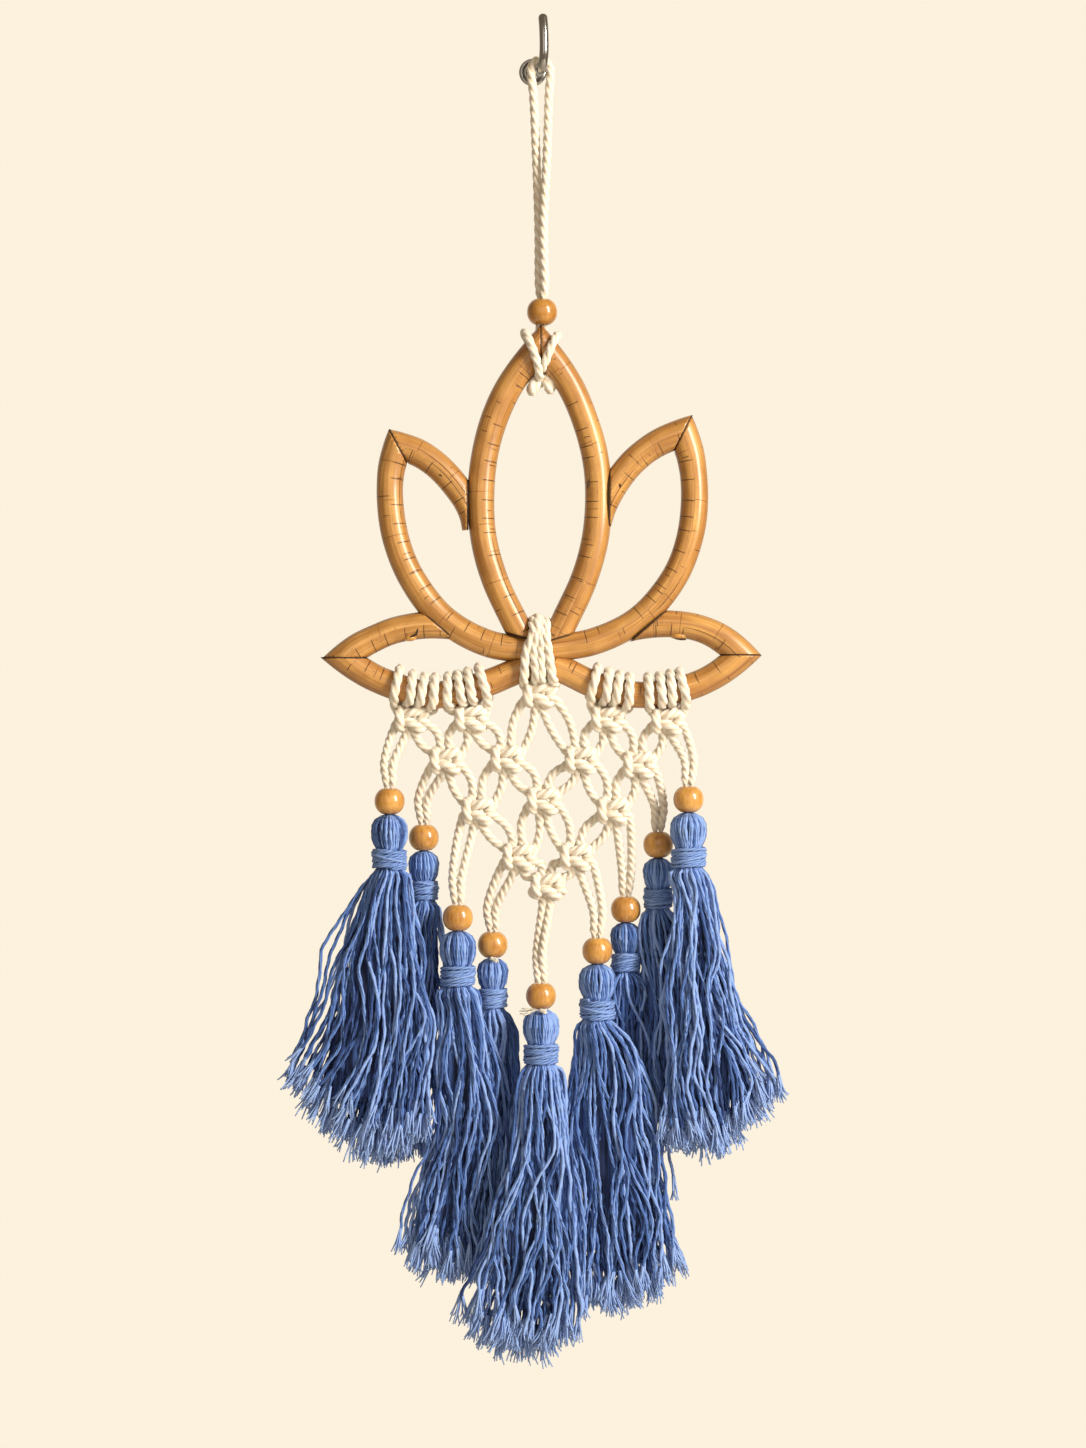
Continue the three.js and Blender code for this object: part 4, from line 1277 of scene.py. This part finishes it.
def tassel_yarns(number):
    tassel = TASSELS[number]
    rng = np.random.default_rng(40 + number)
    kind = tassel.kind
    count = kind.yarns // YARNS_IN_CLUMP
    clumps = [
        SimpleNamespace(
            across=math.cos(2 * math.pi * (i + 0.5) / count),
            reach=rng.uniform(0.8, 3.6),
            length=rng.uniform(60, 115),
            start=rng.uniform(0, 6.28),
            drop=rng.uniform(-7, 5),
        )
        for i in range(count)
    ]
    layout = yarn_layout(kind, rng)
    in_front = [
        i for i, (angle, share, on_head) in enumerate(layout) if on_head and math.sin(angle) < -0.1
    ]
    strays = set(rng.choice(in_front, STRAYS, replace=False))
    runs = []
    fibres = []
    for i, (angle, share, on_head) in enumerate(layout):
        clump = clumps[int(angle / (2 * math.pi) * count) % count]
        line, radius, shade = yarn_run(tassel, angle, share, on_head, clump, i in strays, rng)
        runs.append((line, radius, shade))
        strands = OUTER_FIBRES if on_head else INNER_FIBRES
        heading = line[-1] - line[-3]
        reach = rng.uniform(6.5, 10)
        fibres += frayed(line[-1], heading, reach, strands, FRAY_SPREAD, rng, shade + ENDS_LIGHTER)
    yarns = swept("yarns", runs, "yarn", [YARN_LAY] * len(runs))
    finished(f"tassel_yarns_{number + 1}", yarns, YARN, "tassel_yarn", f"tassel_{number + 1}")
    ends = swept("ends", fibres, "fibre")
    finished(f"tassel_ends_{number + 1}", ends, YARN_ENDS, "tassel_yarn")


def tassel_core_shade(number):
    """A body for the bunched yarn inside a tassel, coloured in painted deep shade,
    seen only in the grooves between its outer strands.
    """
    tassel = TASSELS[number]
    kind = tassel.kind
    shape = bmesh.new()
    bmesh.ops.create_uvsphere(shape, u_segments=FILLING_SIDES, v_segments=14, radius=MM)
    reach = kind.radius - 2 * YARN_RADIUS
    bmesh.ops.scale(shape, vec=(reach, reach, kind.height * 0.52), verts=shape.verts)
    middle = (tassel.x, kind.y, head_top(tassel) - kind.height * 0.6)
    bmesh.ops.translate(shape, vec=placed(middle), verts=shape.verts)
    neck = neck_radius(kind) * 0.7
    shoulder, mid, tip = skirt_points(tassel, 0, 0, 0)[1:]
    end = mid + (tip - mid) * FILLING_FALL
    half_end = tassel.mid_half + (tassel.tip_half - tassel.mid_half) * FILLING_FALL
    rings = [
        ((tassel.x, kind.y, neck_foot(tassel) + 1), neck, neck),
        (shoulder, tassel.shoulder * 0.72, tassel.shoulder * 0.42),
        (mid, tassel.mid_half * 0.78, kind.depth * 0.6),
        (end, half_end * 0.74, kind.depth * 0.55),
        (end - (0, 0, 3), half_end * 0.5, kind.depth * 0.3),
    ]
    loft(shape, rings, FILLING_SIDES)
    finished(f"tassel_core_shade_{number + 1}", as_mesh(shape, "filling"), CORE_SHADE, "tassel_yarn")


def loft(shape, rings, sides):
    """Adds a closed body through level ellipses, each a centre, a half width and a half depth."""
    made = bmesh.ops.create_circle(shape, cap_ends=True, segments=sides, radius=MM)["verts"]
    centre, half_width, half_depth = rings[0]
    bmesh.ops.scale(shape, vec=(half_width, half_depth, 1), verts=made)
    bmesh.ops.translate(shape, vec=placed(centre), verts=made)
    face = made[0].link_faces[0]
    for (centre, half_width, half_depth), (below, below_width, below_depth) in zip(rings, rings[1:]):
        face = bmesh.ops.extrude_discrete_faces(shape, faces=[face])["faces"][0]
        bmesh.ops.translate(shape, vec=placed(below) - placed(centre), verts=face.verts)
        bmesh.ops.scale(
            shape, vec=(below_width / half_width, below_depth / half_depth, 1), verts=face.verts,
            space=Matrix.Translation(-placed(below)),
        )
    bmesh.ops.recalc_face_normals(shape, faces=shape.faces)


def neck_binding(number):
    """Yarn wound round a tassel's neck, with a strand or two that cross the turns."""
    tassel = TASSELS[number]
    kind = tassel.kind
    rng = np.random.default_rng(80 + number)
    reach = neck_radius(kind) + WINDING_STANDS_OUT
    foot = neck_foot(tassel) + GAP
    pitch = (BINDING_HEIGHT - 1.7) / BINDING_TURNS
    turn = np.linspace(0, BINDING_TURNS, BINDING_TURNS * STEPS_IN_TURN)
    uneven = sum(
        rng.uniform(0.1, 0.22) * wave(turn, 1, 1 / rate, rng.uniform(0, 6.28)) for rate in UNEVEN_RATES
    )
    puff = wave(turn, 0.16, 1 / PUFF_RATE, rng.uniform(0, 6.28))
    start = rng.uniform(0, 6.28)

    def wound(turn, reach, height):
        angle = start + turn * 2 * math.pi
        across = tassel.x + np.cos(angle) * reach
        return np.column_stack([across, kind.y + np.sin(angle) * reach, foot + height])

    height = 0.85 + turn * pitch + uneven
    runs = [(wound(turn, reach + puff, height), WINDING_RADIUS, WINDING_SHADE)]
    for low, high, begin, length in CROSSING_STRANDS:
        part = np.linspace(0, 1, CROSSING_STEPS)
        rise = low + (high - low) * part * part * (3 - 2 * part)
        over = reach + CROSSING_LIFT * np.sin(part * math.pi) ** 0.5
        strand = wound(begin + part * length, over, rise * BINDING_HEIGHT)
        runs.append((strand, CROSSING_RADIUS, CROSSING_SHADE))
    mesh = swept("winding", runs, "yarn", [BINDING_LAY] * len(runs))
    finished(f"neck_winding_{number + 1}", mesh, BINDING, "binding_yarn", f"binding_{number + 1}")


for index, each in enumerate(TASSELS):
    place = (each.x, each.kind.y, each.z)
    turned_bead(f"turned_bead_{index + 1}", place, f"bead_{index + 1}", BEAD)
    tassel_yarns(index)
    tassel_core_shade(index)
    neck_binding(index)


# The studio: a pale floor below the hanging, a pale room, and soft lights.
FLOOR_HALF = 1.6
FLOOR_HEIGHT = -1.15


def floor():
    finish = Finish("pale_floor")
    grain = finish.noise("Object", (6, 6, 6))
    tone = finish.ramp(grain, [(0.3, (0.74, 0.7, 0.63)), (0.7, (0.8, 0.76, 0.69))])
    finish.surface(tone, roughness=0.9)
    shape = bmesh.new()
    bmesh.ops.create_grid(shape, x_segments=2, y_segments=2, size=FLOOR_HALF)
    bmesh.ops.translate(shape, vec=(0, 0, FLOOR_HEIGHT), verts=shape.verts)
    mesh = as_mesh(shape, "floor")
    mesh.materials.append(finish.material)
    added("floor", mesh)


def lamp(name, place, size, power, colour):
    """A soft lamp that faces the hanging's middle."""
    data = bpy.data.lights.new(name, "AREA")
    data.shape = "RECTANGLE"
    data.size, data.size_y = size
    data.energy = power
    data.color = colour
    light = added(name, data)
    light.location = place
    light.rotation_euler = (MIDDLE - Vector(place)).to_track_quat("-Z", "Y").to_euler()


floor()
MIDDLE = Vector((0, 0, -0.33))
lamp("window_light", (1.65, -1.35, 0.45), (0.42, 1.4), 78, (1, 0.94, 0.83))
lamp("soft_front", (-0.2, -2.2, 0.3), (1.8, 1.8), 9, (1, 0.93, 0.82))


def pale_room():
    """Soft cream light all round, brighter from behind the hanging than from the front."""
    world = bpy.data.worlds.new("pale_room")
    bpy.context.scene.world = world
    room = Nodes(world, "Background")
    direction = room.node("ShaderNodeTexCoord").outputs["Generated"]
    inwards = room.node("ShaderNodeSeparateXYZ", {"Vector": direction}).outputs["Y"]
    light = room.ramp(inwards, [(0.35, (0.3, 0.24, 0.165)), (0.93, (0.98, 0.885, 0.725))])
    room.put(light, room.shader.inputs["Color"])


pale_room()
bpy.context.scene.view_settings.view_transform = "Standard"

for shape in SECTIONS.values():
    bpy.data.objects.remove(shape)
